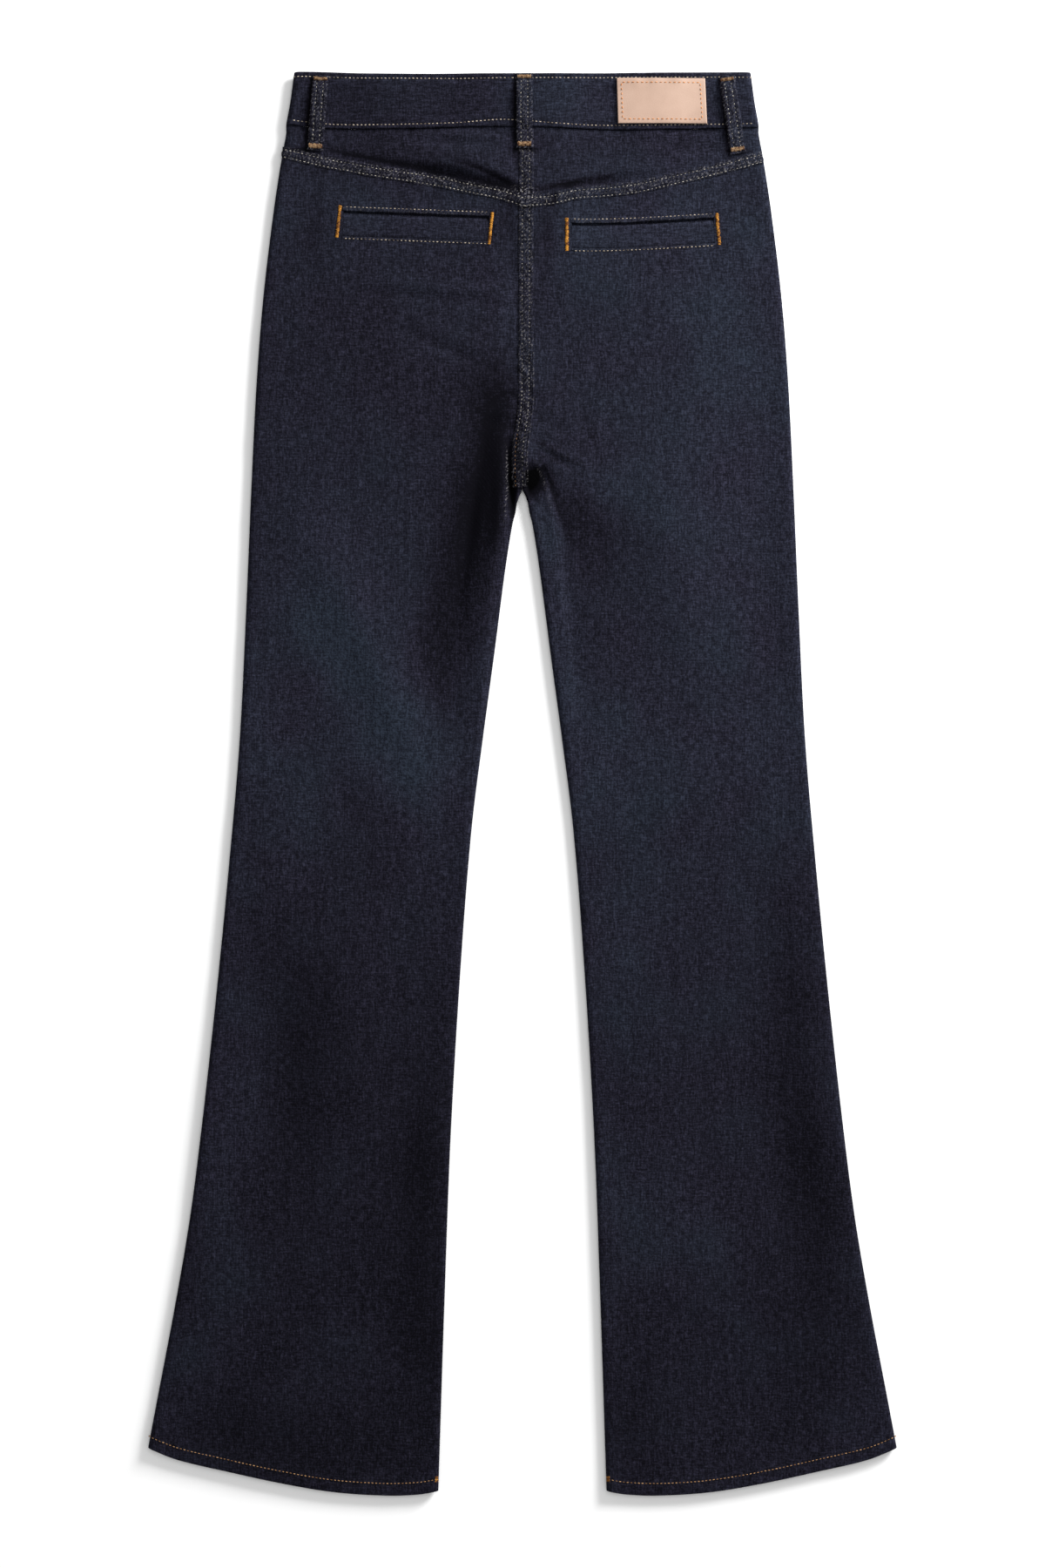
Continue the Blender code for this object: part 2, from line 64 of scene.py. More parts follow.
Piece = bpy.types.Object
Tree = bpy.types.NodeTree
Socket = bpy.types.NodeSocket
Material = bpy.types.Material
Colour = tuple[float, float, float, float]
Pairs = Sequence[tuple[float, float]]

MM = 0.001
BODY = "root"
TOTAL_LENGTH = 1150.6
HALF_LENGTH = TOTAL_LENGTH / 2
CROTCH_DOWN = 336.3
SEAM_GAP = 0.3
CURL_RADIUS = 5
CLOTH_WALL = 1.2
BAND_WALL = 2.2
HEM_WALL = 2.4
HEM_DEPTH = 10.5
SPREAD = 0.5
SIDE_SPREAD = 1.1
FLOOR_Z = -0.0008
SHARP_ANGLE = math.radians(50)
NO_NOTCH = -100


class Side(Enum):
    """Side of the garment, as its back is looked at."""

    LEFT = -1
    RIGHT = 1

    @property
    def label(self) -> str:
        """Word for this side in the names of pieces."""
        return self.name.lower()


# Half-width to the side fold, by place down
SIDES = (
    (0, 184), (24, 187.3), (41, 190.3), (47, 190.2), (66.3, 193.7), (108.6, 200.2), (179.1, 208.7),
    (249.6, 214.3), (336, 218.6), (434.3, 222.8), (540, 228.1), (645.8, 237.2), (751.5, 247.6),
    (857.3, 259.4), (927.8, 268.6), (998.3, 280.6), (1068.8, 294), (1125, 304.6),
)
# Half the gap between the legs, by place down
INSEAMS = (
    (336.3, 0), (345, 4.4), (355.3, 6.3), (363.8, 8.5), (399, 14.1), (469.5, 23.3), (540, 32.8),
    (610.5, 41.6), (716.3, 50.1), (857.3, 58.5), (998.3, 63.8), (1147, 68.6),
)
# Where the centre-back seam runs across, by place down
SEAT_SEAM = ((0, 3.2), (250, 3.2), (290, 1.4), (316, -0.4), (336.3, 0))
# Yoke seam: distance from the seat seam, then place down on the left and on the right
YOKE_SEAM = (
    (0, 104.5, 103.5), (20, 98, 102), (40, 94, 97.5), (66, 88.5, 95.5), (92, 84.2, 92.2),
    (130, 78.3, 83.5), (145, 75.2, 80), (160, 72.6, 76.3), (196, 64.3, 67),
)
# Lower edge of the back waistband, by place across
BAND_SEAM = (
    (-192, 40.6), (-176, 42.6), (-156, 44.4), (-100, 44.6), (-45, 43.5), (-10, 43.4), (9, 43.4),
    (76, 45.6), (192, 43.4),
)
# Upper edge of the back waistband, by place across
BAND_TOP = (
    (-190, -1.8), (-168, -1.9), (-126, -0.6), (-42, 0), (30, -0.1), (72, -0.7), (113, -1.2),
    (155, -1.6), (190, -1.6),
)
# Middle of the seat's felled seam, by place down
SEAT_FELL = (
    (0, 3), (250, 2.6), (265, 2.2), (279, 1), (293, -1.2), (304, -2.5), (321, -2.8), (336, -2.3),
)
# Lower edge of a leg, by distance from the middle
HEMS = (
    (68, 1147), (85, 1149.8), (111, 1150.6), (153, 1147.8), (195, 1140.8), (238, 1131.5), (280, 1121.6),
    (303, 1112.3),
)


class Bump(NamedTuple):
    """Where a hard piece under the cloth lifts a layer."""

    x: float
    down: float
    half_width: float
    half_depth: float
    rise: float
    fade: float


FRONT_BUMPS = (
    Bump(0, 35, 11, 11, 3, 34), Bump(-100, 41, 8.5, 32, 3, 30), Bump(100, 41, 8.5, 32, 3, 30),
)
BACK_BUMPS = (
    Bump(-2, 28, 24, 32, 4.7, 62), Bump(-100, 41, 8.5, 32, 1.7, 44), Bump(100, 41, 8.5, 32, 1.7, 44),
)


class Pocket(NamedTuple):
    """Mouth of a welt pocket, from end to end, and the welt's depth and the mouth's sag."""

    left_x: float
    left_down: float
    right_x: float
    right_down: float
    depth: float
    sag: float

    @property
    def length(self) -> float:
        """Length of the mouth."""
        return math.hypot(self.right_x - self.left_x, self.right_down - self.left_down)

    def place(self, along: Array, below: Array) -> tuple[Array, Array]:
        """Place on the garment.

        Args:
            along: Distance along the mouth.
            below: Distance below it.

        Returns:
            Places across and down.
        """
        run_x = (self.right_x - self.left_x) / self.length
        run_down = (self.right_down - self.left_down) / self.length
        share = np.clip(np.asarray(along, float) / self.length, 0, 1)
        below = below + self.sag * np.sin(math.pi * share ** 0.7)
        return (self.left_x + along * run_x - below * run_down,
                self.left_down + along * run_down + below * run_x)


POCKETS = {
    Side.LEFT: Pocket(-144.9, 110.7, -26.8, 115.1, 20.4, 0),
    Side.RIGHT: Pocket(39.8, 120.4, 155.1, 116.3, 20.6, 1.3),
}


class Bar(NamedTuple):
    """A bar of close stitches along a short line."""

    x0: float
    down0: float
    x1: float
    down1: float
    width: float


POCKET_BARS = (
    Bar(-147.5, 106.6, -150.3, 132.2, 3), Bar(-24.3, 112.2, -26.9, 137.6, 2.7),
    Bar(35.9, 116.6, 36.1, 143, 3.2), Bar(157.4, 112.8, 159.6, 138, 3),
)


class Loop(NamedTuple):
    """Centre of a belt loop at its top and at its foot."""

    label: str
    top_x: float
    top_down: float
    foot_x: float
    foot_down: float


BACK_LOOPS = (
    Loop("left", -163.2, 1.6, -167.8, 62), Loop("centre", 1.5, 0.6, 1.5, 61),
    Loop("right", 165.2, 2.2, 174.7, 64.5),
)
FRONT_LOOPS = (Loop("left", -100, 12, -100, 70), Loop("right", 100, 12, 100, 70))
BACK_LOOP_ARCH = (
    (0, 1.35), (0.08, 1.35), (0.18, 2.7), (0.42, 3.1), (0.66, 2.6), (0.76, 1.9), (0.88, 0.35),
    (1, 0.35),
)
FRONT_LOOP_ARCH = ((0, 0.35), (0.1, 0.35), (0.22, 1.35), (0.7, 1.35), (0.86, 0.35), (1, 0.35))


class Crease(NamedTuple):
    """A soft fold along a bowed line, which fades at both ends."""

    x0: float
    down0: float
    x1: float
    down1: float
    near: float
    far: float
    height: float
    bow: float = 0

    def rise(self, x: Array, down: Array) -> Array:
        """Height that the fold adds.

        Args:
            x: Places across.
            down: Places down.

        Returns:
            The rise at each place.
        """
        run_x, run_down = self.x1 - self.x0, self.down1 - self.down0
        length = math.hypot(run_x, run_down)
        along = ((x - self.x0) * run_x + (down - self.down0) * run_down) / length ** 2
        along = np.clip(along, 0, 1)
        away = ((x - self.x0) * run_down - (down - self.down0) * run_x) / length
        away = away - self.bow * 4 * along * (1 - along)
        reach = np.where(away > 0, self.far, self.near)
        return self.height * np.sin(math.pi * along) * bell(away, reach)


def creases(*rows: tuple[float, ...]) -> tuple[Crease, ...]:
    """Folds from rows of x0, down0, x1, down1, near, far, height and bow."""
    return tuple(Crease(*row) for row in rows)


BACK_CREASES = creases(
    # Crotch: folds of the legs and the hollows beside them
    (-14.8, 282, -19, 411.7, 11.3, 2.3, 4.4, 3.2), (-19, 321.5, -41.6, 561.2, 16.9, 4.9, 2.8, 2.1),
    (-23.3, 269.3, -57.1, 479.4, 7, 7, -2.2, -4.2), (2.1, 270.7, 0.7, 352.5, 5.6, 5.6, 2.6),
    (3.5, 301.7, 26.1, 392, 3.5, 3.5, 0.8, 6.3), (26.1, 335.6, 48.6, 547.1, 3.5, 15.5, -1.5, 2.1),
    (8.5, 298.9, 37.4, 392, 1.8, 4.9, -0.9, 3.5), (-23.3, 282, -4.9, 265.1, 3.5, 3.5, 1.4),
    (-30.3, 272.1, -4.9, 255.2, 3.5, 3.5, -1.1), (3.5, 291.9, 57.1, 320.1, 2.1, 3.2, 1.3),
    (3.5, 296.8, 45.8, 322.2, 2.5, 2.1, -1), (2.8, 290.5, 36, 304.6, 2.1, 2.1, -1.2),
    (13.4, 270.7, 45.8, 283.4, 4.2, 4.2, 0.7),
    # Yokes: swell above the seam, and the hollow that it falls into
    (-122.7, 66.3, -1.4, 83.2, 5.6, 15.5, 3.4, 2.1), (-105, 73.3, 3.5, 94.5, 3.5, 4.9, -2.4),
    (-61.3, 70.5, -3.5, 93.1, 1.8, 2.1, -1.5, 2.8), (-27.5, 79, 0.7, 91.6, 2.1, 2.8, 1.3, 2.1),
    (23.3, 93.1, 102.9, 82.5, 2.8, 4.2, -1.6), (28.9, 84.6, 113.5, 74.7, 4.9, 11.3, 1.4),
    (-140.3, 52.2, -16.9, 59.2, 4.2, 4.9, -0.8), (-90.9, 46.5, -6.3, 53.6, 3.5, 4.2, 0.8),
    (-41.6, 46.5, -2.1, 53.6, 2.1, 2.1, -1, 2.1), (28.9, 64.9, 141.7, 57.8, 6.3, 6.3, 0.7),
    (-174.1, 64.9, -126.2, 71.9, 4.2, 8.5, -0.8), (64.2, 53.6, 184, 64.9, 5.6, 5.6, -0.5, 2.1),
    # Seat: fine drag lines
    (-145.9, 176.2, -3.5, 186.8, 2.5, 4.2, -0.9), (-145.9, 167.8, -3.5, 177.7, 4.2, 6.3, 0.8),
    (-69.8, 172, -2.1, 164.3, 2.1, 3.5, -0.8), (-117.7, 198.8, -2.1, 248.9, 2.8, 4.2, -0.9, -0.7),
    (-112.1, 188.9, -2.1, 236.9, 4.2, 5.6, 0.6), (-48.6, 231.2, 2.1, 221.4, 4.2, 4.2, -1.1),
    (-12, 97.3, -9.2, 173.4, 6.3, 4.2, -1), (16.2, 104.3, 19, 156.5, 5.6, 8.5, -0.6),
    (-168.5, 74.7, -174.1, 201.6, 5.6, 5.6, -0.5), (9.2, 242.5, 37.4, 280.6, 5.6, 5.6, 0.6),
    (36, 173.4, 177, 184, 7, 8.5, 0.5, 1.4),
    # Thighs
    (-186.1, 328.5, -54.3, 617.6, 21.1, 32.4, 4.2), (-210.8, 434.3, -112.1, 652.8, 19.7, 19.7, -1.1),
    (27.5, 321.5, 71.2, 441.3, 9.9, 15.5, -1.9), (100.8, 286.2, 141.7, 518.9, 32.4, 35.2, 3.8, 2.8),
    (191.1, 251, 198.1, 547.1, 15.5, 14.1, -0.8),
    # Shins
    (-224.9, 652.8, -186.1, 948.9, 14.1, 21.1, -1.7, 3.5),
    (-150.9, 652.8, -126.2, 984.2, 28.2, 25.4, 1.8), (-61.3, 702.2, -83.9, 1040.6, 19.7, 7, 1.6),
    (-242.5, 688.1, -272.8, 998.3, 12.7, 15.5, 1), (185.4, 617.6, 215.7, 984.2, 21.1, 15.5, -1.7, -2.8),
    (215.7, 603.5, 258.7, 1005.3, 12.7, 17.6, 1.8), (100.8, 709.2, 120.6, 1012.4, 33.8, 35.2, 1.8),
    (71.2, 964.4, 173.4, 1013.8, 9.9, 14.1, 0.9), (-274.2, 1068.8, -126.2, 1097, 18.3, 21.1, 0.8, 2.8),
)
CROTCH_PITS = creases(
    (-11.3, 290.5, -2.8, 373.6, 3, 2.5, -4.8, -1.8), (4.2, 310.2, 2.8, 356.7, 2.4, 4.9, -4.5, 2.1),
    (-0.7, 325.7, 19, 318, 12.7, 1.8, -4.5),
)
FRONT_CREASES = creases(
    # Folds of the hidden face, which leave it clear of the floor
    (-189.6, 335.6, -69.8, 617.6, 21.1, 28.2, 1.3), (28.9, 321.5, 85.3, 462.5, 11.3, 15.5, 1),
    (100.8, 286.2, 141.7, 518.9, 21.1, 25.4, 1.1, 2.8),
    (-224.9, 652.8, -186.1, 948.9, 14.1, 21.1, 1, 3.5),
    (185.4, 617.6, 215.7, 984.2, 21.1, 15.5, 1, -2.8), (-69.8, 702.2, -90.9, 1040.6, 14.1, 8.5, 0.9),
    (-27.5, 272.1, -69.8, 307.4, 7, 7, 1), (28.9, 272.1, 85.3, 307.4, 7, 7, 1),
    (-119.1, 67.7, -27.5, 88.8, 7, 9.9, 0.7), (36, 95.9, 113.5, 81.8, 7, 9.9, 0.7),
)
# Painted shade: dark strokes on the cloth where folds, hollows and belt loops cast shade
PAINTED_SHADE_STROKES = creases(
    # Painted shade in the depth of folds and hollows
    (-11.3, 290.5, -2.8, 373.6, 3, 3.1, -1.9, -1.8), (-9.2, 314.4, -6.3, 368, 2.8, 2.8, -1.6, -0.7),
    (3.5, 310.2, 2.1, 352.5, 2.1, 4.2, -1.5, 2.1), (0.7, 325, 17.6, 318, 14.1, 1.8, -3.2),
    (10.6, 300.3, 28.9, 368, 1.6, 3.5, -0.9, 3.5), (12, 307.4, 40.2, 392, 2.8, 8.5, -0.5, 3.5),
    (-23.3, 251, -41.6, 392, 4.9, 5.6, -0.6, -1.4), (-21.1, 286.2, -23.3, 392, 4.9, 5.6, -0.9),
    (4.9, 295.4, 34.5, 305.3, 1.7, 1.7, -0.7), (9.2, 303.1, 44.4, 322.9, 1.8, 1.8, -0.35),
    (-112.1, 69.8, 13.4, 98, 2.8, 4.9, -1.1), (-101.5, 72.6, -23.3, 76.8, 1.8, 3.5, -0.3),
    (-114.9, 59.2, -23.3, 71.9, 4.2, 4.2, -0.42), (-11.3, 90.2, -9.2, 110, 1.8, 1.8, -0.9),
    (24.7, 95.2, 24, 110, 1.3, 1.6, -1), (-9.2, 108.6, -19, 125.5, 2.1, 2.1, -0.3),
    (21.9, 112.8, 17.6, 141, 2.8, 2.8, -0.25), (-83.9, 80.4, 4.9, 100.1, 1.8, 2.1, -1.2),
    (-58.5, 70.5, -3.5, 93.1, 1.7, 2.1, -1.2, 2.8), (-36, 86, 4.9, 95.2, 2.8, 5.6, -0.7),
    (26.1, 93.1, 85.3, 86, 1.8, 2.1, -0.9), (4.9, 95.2, 51.5, 86.7, 1.8, 2.1, -1.5),
    (24.7, 90.2, 79.7, 81.8, 1.6, 1.8, -1.2), (-174.1, 58.2, -69.8, 79.3, 1.6, 2.3, -1.3),
    (-126.2, 175.5, -6.3, 186.1, 2.8, 2.8, -0.25), (-105, 203, -6.3, 245.3, 2.8, 3.5, -0.2),
    # Painted shadow beside and below the belt loops
    (-5.6, -12.7, -5.6, 74.7, 2, 1.3, -1.9), (-168.5, -9.9, -176.6, 73.3, 2, 1.3, -1.9),
    (159.7, -9.9, 168.5, 73.3, 2, 1.3, -1.9), (-12, 61, 16.2, 61, 1.8, 1.1, -1.6),
    (-189.6, 61, -164.3, 61, 1.8, 1.1, -1.4), (160, 62, 185.4, 62, 1.8, 1.1, -1.4),
    # Painted shade round the bars of close stitches
    (-146.6, 100.1, -149.5, 138.9, 2.8, 2.8, -0.6), (-24, 106.5, -26.1, 145.2, 2.8, 2.8, -0.7),
    (36, 110.7, 36.7, 148.8, 2.8, 2.8, -0.4), (157.9, 106.5, 160.7, 143.8, 2.8, 2.8, -0.6),
)
# Lighter strokes on the cloth: rubbed wear, and painted highlights on the edges of folds
WEAR_AND_HIGHLIGHT_STROKES = creases(
    # Rubbed edges of folds, lighter also as painted highlights where they catch the light
    (-12.7, 298.9, -14.8, 368, 0.7, 0.8, 1.6, 1.1), (4.9, 303.1, 24.7, 363.8, 1, 0.9, 0.45, 3.5),
    (4.9, 296.1, 54.3, 318.7, 1.3, 1.3, 0.15),
    # Less rubbed end of the seat seam
    (2.8, 272.1, -3.5, 363.8, 6.3, 6.3, -0.08),
    # Junction of the seat and yoke seams
    (-10.6, 93.1, 14.8, 100.1, 4.9, 4.9, 0.9),
)


class Fade(NamedTuple):
    """A soft oval that lightens or darkens the cloth, for fades of the dye and for painted shade in
    folds and hollows.
    """

    x: float
    down: float
    reach_x: float
    reach_down: float
    turn: float
    strength: float


# Fades of the dye, with painted shade in folds and hollows among the darker ovals
BACK_FADES_AND_SHADE = tuple(Fade(*row) for row in (
    (-154, 928, 148, 303, 0, -0.72), (163, 949, 148, 303, 0, -0.55), (-140, 237, 127, 233, 0, -0.4),
    (-119, 47, 120, 49, 0, -0.2), (-126, 20, 42, 18, 0, -0.25), (-119, 505, 35, 92, -25, 0.85),
    (-84, 579, 28, 42, 0, 0.4), (-151, 434, 28, 63, 0, 0.3), (-37, 364, 24, 78, 8, -1.05),
    (-66, 459, 18, 85, 0, -0.66), (-19, 272, 18, 47, 0, -0.85), (-38, 262, 24, 42, 0, -0.3),
    (-45, 364, 14, 56, 5, -0.4), (-179, 780, 39, 106, -10, -0.5), (-79, 921, 24, 176, 3, -0.5),
    (-233, 850, 24, 127, 8, 0.4), (64, 378, 32, 78, -10, -0.38), (49, 364, 17, 42, -20, -0.35),
    (85, 125, 67, 35, 0, 0.35), (168, 272, 42, 134, 0, 0.3), (106, 462, 49, 78, 0, 0.12),
    (184, 547, 63, 42, 0, 0.22), (82, 907, 42, 85, 0, 0.35), (235, 900, 27, 141, -10, -0.62),
    (230, 1048, 35, 63, 0, -0.45), (214, 709, 21, 92, -6, -0.25), (244, 730, 25, 63, 0, -0.25),
    # The last oval of this row is a painted black shadow in the pit at the crotch
    (30, 420, 11, 85, -6, 0.35), (16, 367, 8, 28, -14, 0.2), (8, 330, 5, 10, 10, -3),
    (90, 56, 78, 11, 0, -0.35), (-13, 125, 13, 21, 0, -0.6), (-12, 195, 11, 35, 0, 0.35),
    (19, 130, 11, 28, 0, -0.7), (-271, 984, 17, 63, 10, -0.35), (-239, 1097, 42, 35, 0, -0.35),
    (-190, 1115, 106, 42, 0, -0.4), (85, 1104, 35, 56, 0, -0.5), (-119, 618, 53, 39, -25, -0.2),
    (-133, 109, 53, 27, 0, 0.45), (-170, 125, 14, 28, 0, -0.5), (-168, 364, 32, 85, 0, 0.3),
    (-186, 618, 23, 70, 0, 0.3), (-98, 554, 21, 42, 0, 0.25), (-211, 533, 16, 35, 0, 0.45),
    (-151, 871, 21, 78, 0, 0.35), (64, 561, 30, 42, 0, 0.45), (82, 702, 28, 42, 0, 0.35),
    (142, 928, 42, 42, 0, 0.4), (61, 332, 31, 24, 0, 0.6), (-70, 1041, 17, 56, 0, -0.3),
    (44, 125, 14, 20, 0, 0.4), (44, 351, 14, 23, 0, -0.3), (-211, 364, 18, 78, 0, -0.12),
))


class Curve:
    """A smooth line through the points of a table, level past its ends."""

    def __init__(self, points: Pairs) -> None:
        """Works out the slope at each point.

        Args:
            points: Pairs of place and value.
        """
        rows = np.array(sorted(points), float)
        self.place, self.value = rows[:, 0], rows[:, 1]
        index = np.arange(len(rows))
        before, after = np.maximum(index - 1, 0), np.minimum(index + 1, len(rows) - 1)
        self.slope = (
            (self.value[after] - self.value[before]) / (self.place[after] - self.place[before]))

    def __call__(self, at: Array) -> Array:
        """Value of the curve.

        Args:
            at: Places along the table.

        Returns:
            Value at each place.
        """
        at = np.clip(np.asarray(at, float), self.place[0], self.place[-1])
        index = np.clip(np.searchsorted(self.place, at, side="right") - 1, 0, len(self.place) - 2)
        run = self.place[index + 1] - self.place[index]
        t = (at - self.place[index]) / run
        return (self.value[index] * (2 * t ** 3 - 3 * t ** 2 + 1)
                + self.slope[index] * run * (t ** 3 - 2 * t ** 2 + t)
                + self.value[index + 1] * (3 * t ** 2 - 2 * t ** 3)
                + self.slope[index + 1] * run * (t ** 3 - t ** 2))


class SoftNoise:
    """Smooth random waves over a plane, from -1 to 1, the same each run."""

    def __init__(self, seed: int, cells: int = 61) -> None:
        """Draws the lattice, which repeats after so many cells."""
        self.cells = cells
        self.lattice = np.random.default_rng(seed).uniform(-1, 1, (cells, cells))

    def __call__(self, u: Array, v: Array) -> Array:
        """Value of the waves.

        Args:
            u: Places one way, in cells.
            v: Places the other way.

        Returns:
            Value at each place.
        """
        u, v = np.broadcast_arrays(np.asarray(u, float), np.asarray(v, float))
        i, j = np.floor(u).astype(int), np.floor(v).astype(int)
        fu, fv = u - i, v - j
        fu, fv = (f * f * f * (f * (f * 6 - 15) + 10) for f in (fu, fv))
        i0, j0 = i % self.cells, j % self.cells
        i1, j1 = (i + 1) % self.cells, (j + 1) % self.cells
        near = self.lattice[i0, j0] * (1 - fu) + self.lattice[i1, j0] * fu
        far = self.lattice[i0, j1] * (1 - fu) + self.lattice[i1, j1] * fu
        return near * (1 - fv) + far * fv


def ease(t: Array) -> Array:
    """Smooth step from 0 to 1."""
    t = np.clip(t, 0, 1)
    return t * t * (3 - 2 * t)


def mix(a: Array, b: Array, t: Array) -> Array:
    """Value between a and b."""
    return a + (b - a) * t


def bell(away: Array, reach: Array | float) -> Array:
    """Bell curve: 1 in the middle, fading within twice the reach."""
    return np.exp(-(away / reach) ** 2)


def round_over(away: Array, radius: float) -> Array:
    """Quarter circle: 0 at an edge, and 1 from a radius inward."""
    return np.sqrt(1 - (1 - np.clip(away / radius, 0, 1)) ** 2)


def level_line(value: float) -> Line:
    """Line that keeps one value."""
    return lambda at: np.full_like(at, value)


def level_lift(value: float) -> Height:
    """Height that is the same everywhere."""
    return lambda along, across: np.full(along.shape, value)


@dataclass
class Lie:
    """How the garment lies: its outline, and the heights of its two layers."""

    lay_height: float = 5.4
    fold_rise: float = 0.8
    fold_reach: float = 12
    crotch_dive: float = 10
    band_step: float = 1
    band_depth: float = 42
    front_dip: float = 14
    fly_overlap: float = 14
    underlap_ramp: float = 22
    underlap_gap: float = 0.8
    top_row: float = 4.2
    low_row: float = 3.6
    least_height: float = 3.6
    least_blend: float = 0.3
    row_rise: float = 2
    row_rise_place: float = 18
    row_rise_reach: float = 24
    row_wander: float = 0.35
    row_dent: float = 0.4
    row_dent_reach: float = 1.2
    front_seam_rise: float = 0.9
    band_dip: float = 0.9
    band_dip_reach: float = 3.2
    pit_clearance: float = 7
    pucker: float = 0.4
    pucker_reach: float = 9
    ripple: float = 0.22
    pit_start: float = 6
    pit_ramp: float = 12
    ripple_wave: tuple[float, float] = (34, 55)
    fold_growth: float = 22
    pucker_spread: float = 16
    side_pucker: float = 0.8
    side_wave: float = 21
    band_ripple: float = 0.25
    band_wave: tuple[float, float] = (30, 40)
    front_seam: tuple[float, float] = (165, 345)
    front_seam_ramps: tuple[float, float] = (25, 20)
    front_seam_reach: float = 24

    def __post_init__(self) -> None:
        """Draws the lines of the outline and seams, and the waves of the cloth."""
        self.side_line = Curve([(down, half + SIDE_SPREAD) for down, half in SIDES])
        self.inseam_line = Curve([(down, max(half - SPREAD, 0)) for down, half in INSEAMS])
        self.seat_line = Curve(SEAT_SEAM)
        self.left_yoke = Curve([(out, left) for out, left, _ in YOKE_SEAM])
        self.right_yoke = Curve([(out, right) for out, _, right in YOKE_SEAM])
        self.band_line, self.band_top = Curve(BAND_SEAM), Curve(BAND_TOP)
        self.fell_line = Curve(SEAT_FELL)
        self.hem_line = Curve([(out, down + SPREAD) for out, down in HEMS])
        self.noise, self.seam_noise = SoftNoise(11), SoftNoise(23)

    # Outline

    def side_edge(self, side: Side) -> Line:
        """Line of a side fold: x for each place down."""
        return lambda down: side.value * self.side_line(down)

    def inner_edge(self, side: Side, centre: Line) -> Line:
        """Line of the centre seam, and of the leg's inner fold below the crotch.

        Args:
            side: Side of the leg.
            centre: Centre seam's line.

        Returns:
            The line.
        """
        def edge(down: Array) -> Array:
            """Place across at each place down."""
            fold = side.value * np.maximum(self.inseam_line(down), SEAM_GAP / 2)
            return np.where(down <= CROTCH_DOWN, centre(down) + side.value * SEAM_GAP / 2, fold)
        return edge

    def leg_edges(self, side: Side, centre: Line) -> Sequence[Line]:
        """Edges of a leg, from left to right."""
        edges = (self.side_edge(side), self.inner_edge(side, centre))
        return edges if side is Side.LEFT else edges[::-1]

    def front_centre(self, down: Array) -> Array:
        """Centre-front seam, which runs down the middle."""
        return np.zeros_like(down)

    def front_waist(self, x: Array) -> Array:
        """Front waist's top edge, which dips in the middle."""
        share = np.minimum(np.abs(x) / SIDES[0][1], 1)
        return self.front_dip * np.cos(0.5 * math.pi * share) ** 2

    def front_band_seam(self, x: Array) -> Array:
        """Lower edge of the front waistband."""
        return self.front_waist(x) + self.band_depth

    def yoke_seam(self, x: Array) -> Array:
        """Yoke seam's line, down the back."""
        offset = np.asarray(x, float) - SEAT_SEAM[0][1]
        return np.where(offset < 0, self.left_yoke(-offset), self.right_yoke(offset))

    def hem_edge(self, x: Array) -> Array:
        """Lower edge of a leg."""
        return self.hem_line(np.abs(x))

    # Heights

    def bump_rise(self, x: Array, down: Array, bumps: tuple[Bump, ...]) -> Array:
        """Rise over the hard pieces under one of the layers.

        Args:
            x: Places across.
            down: Places down.
            bumps: The hard pieces.

        Returns:
            Rise at each place.
        """
        total = np.zeros(np.broadcast(x, down).shape)
        for bump in bumps:
            away_x = np.maximum(np.abs(x - bump.x) - bump.half_width, 0)
            away_down = np.maximum(np.abs(down - bump.down) - bump.half_depth, 0)
            total += bump.rise * ease(1 - np.hypot(away_x, away_down) / bump.fade)
        return total

    def fold_height(self, x: Array, down: Array) -> Array:
        """Extra height beside the side folds and the legs' inner folds.

        Args:
            x: Places across.
            down: Places down.

        Returns:
            Extra height at each place.
        """
        rise = bell(self.side_line(down) - np.abs(x), self.fold_reach)
        growth = ease((down - CROTCH_DOWN) / self.fold_growth)
        rise += growth * bell(np.abs(x) - self.inseam_line(down), self.fold_reach)
        return self.fold_rise * np.minimum(rise, 1)

    def seam_pucker(self, away: Array, along: Array, seed: float, wave: float = 9) -> Array:
        """Small gathers beside a seam, which the seed shifts so that seams differ."""
        shape = self.seam_noise(along / wave + seed, away / self.pucker_spread + seed)
        return self.pucker * shape * bell(away, self.pucker_reach)

    def back_level(self, x: Array, down: Array, pits: bool = False) -> Array:
        """Outer face of the back, before it curls over at the folds.

        Args:
            x: Places across.
            down: Places down.
            pits: Whether the deep hollows beside the crotch are counted.

        Returns:
            Height of the face.
        """
        level = self.lay_height + self.fold_height(x, down) + self.bump_rise(x, down, BACK_BUMPS)
        for crease in BACK_CREASES:
            level += crease.rise(x, down)
        if pits:
            below = ease((down - CROTCH_DOWN + self.pit_start) / self.pit_ramp)
            inward = ease((np.abs(x) - self.inseam_line(down)) / self.pit_clearance)
            for crease in CROTCH_PITS:
                level += mix(1, inward, below) * crease.rise(x, down)
            least = self.front_level(x, down) + self.least_height
            blend = self.least_blend
            level = blend * np.logaddexp(level / blend, least / blend)
        below_band = down - self.band_line(x) - 0.5
        level -= self.band_dip * bell(below_band, self.band_dip_reach)
        level += self.seam_pucker(down - self.yoke_seam(x), x, seed=3)
        level += self.seam_pucker(x - self.seat_line(down), down, seed=17) * (
            down < CROTCH_DOWN)
        level += self.seam_pucker(down - self.hem_edge(x) + HEM_DEPTH, x, seed=29)
        level += self.side_pucker * self.seam_pucker(
            self.side_line(down) - np.abs(x), down, 41, self.side_wave)
        wave_x, wave_down = self.ripple_wave
        return level + self.ripple * self.noise(x / wave_x, down / wave_down)

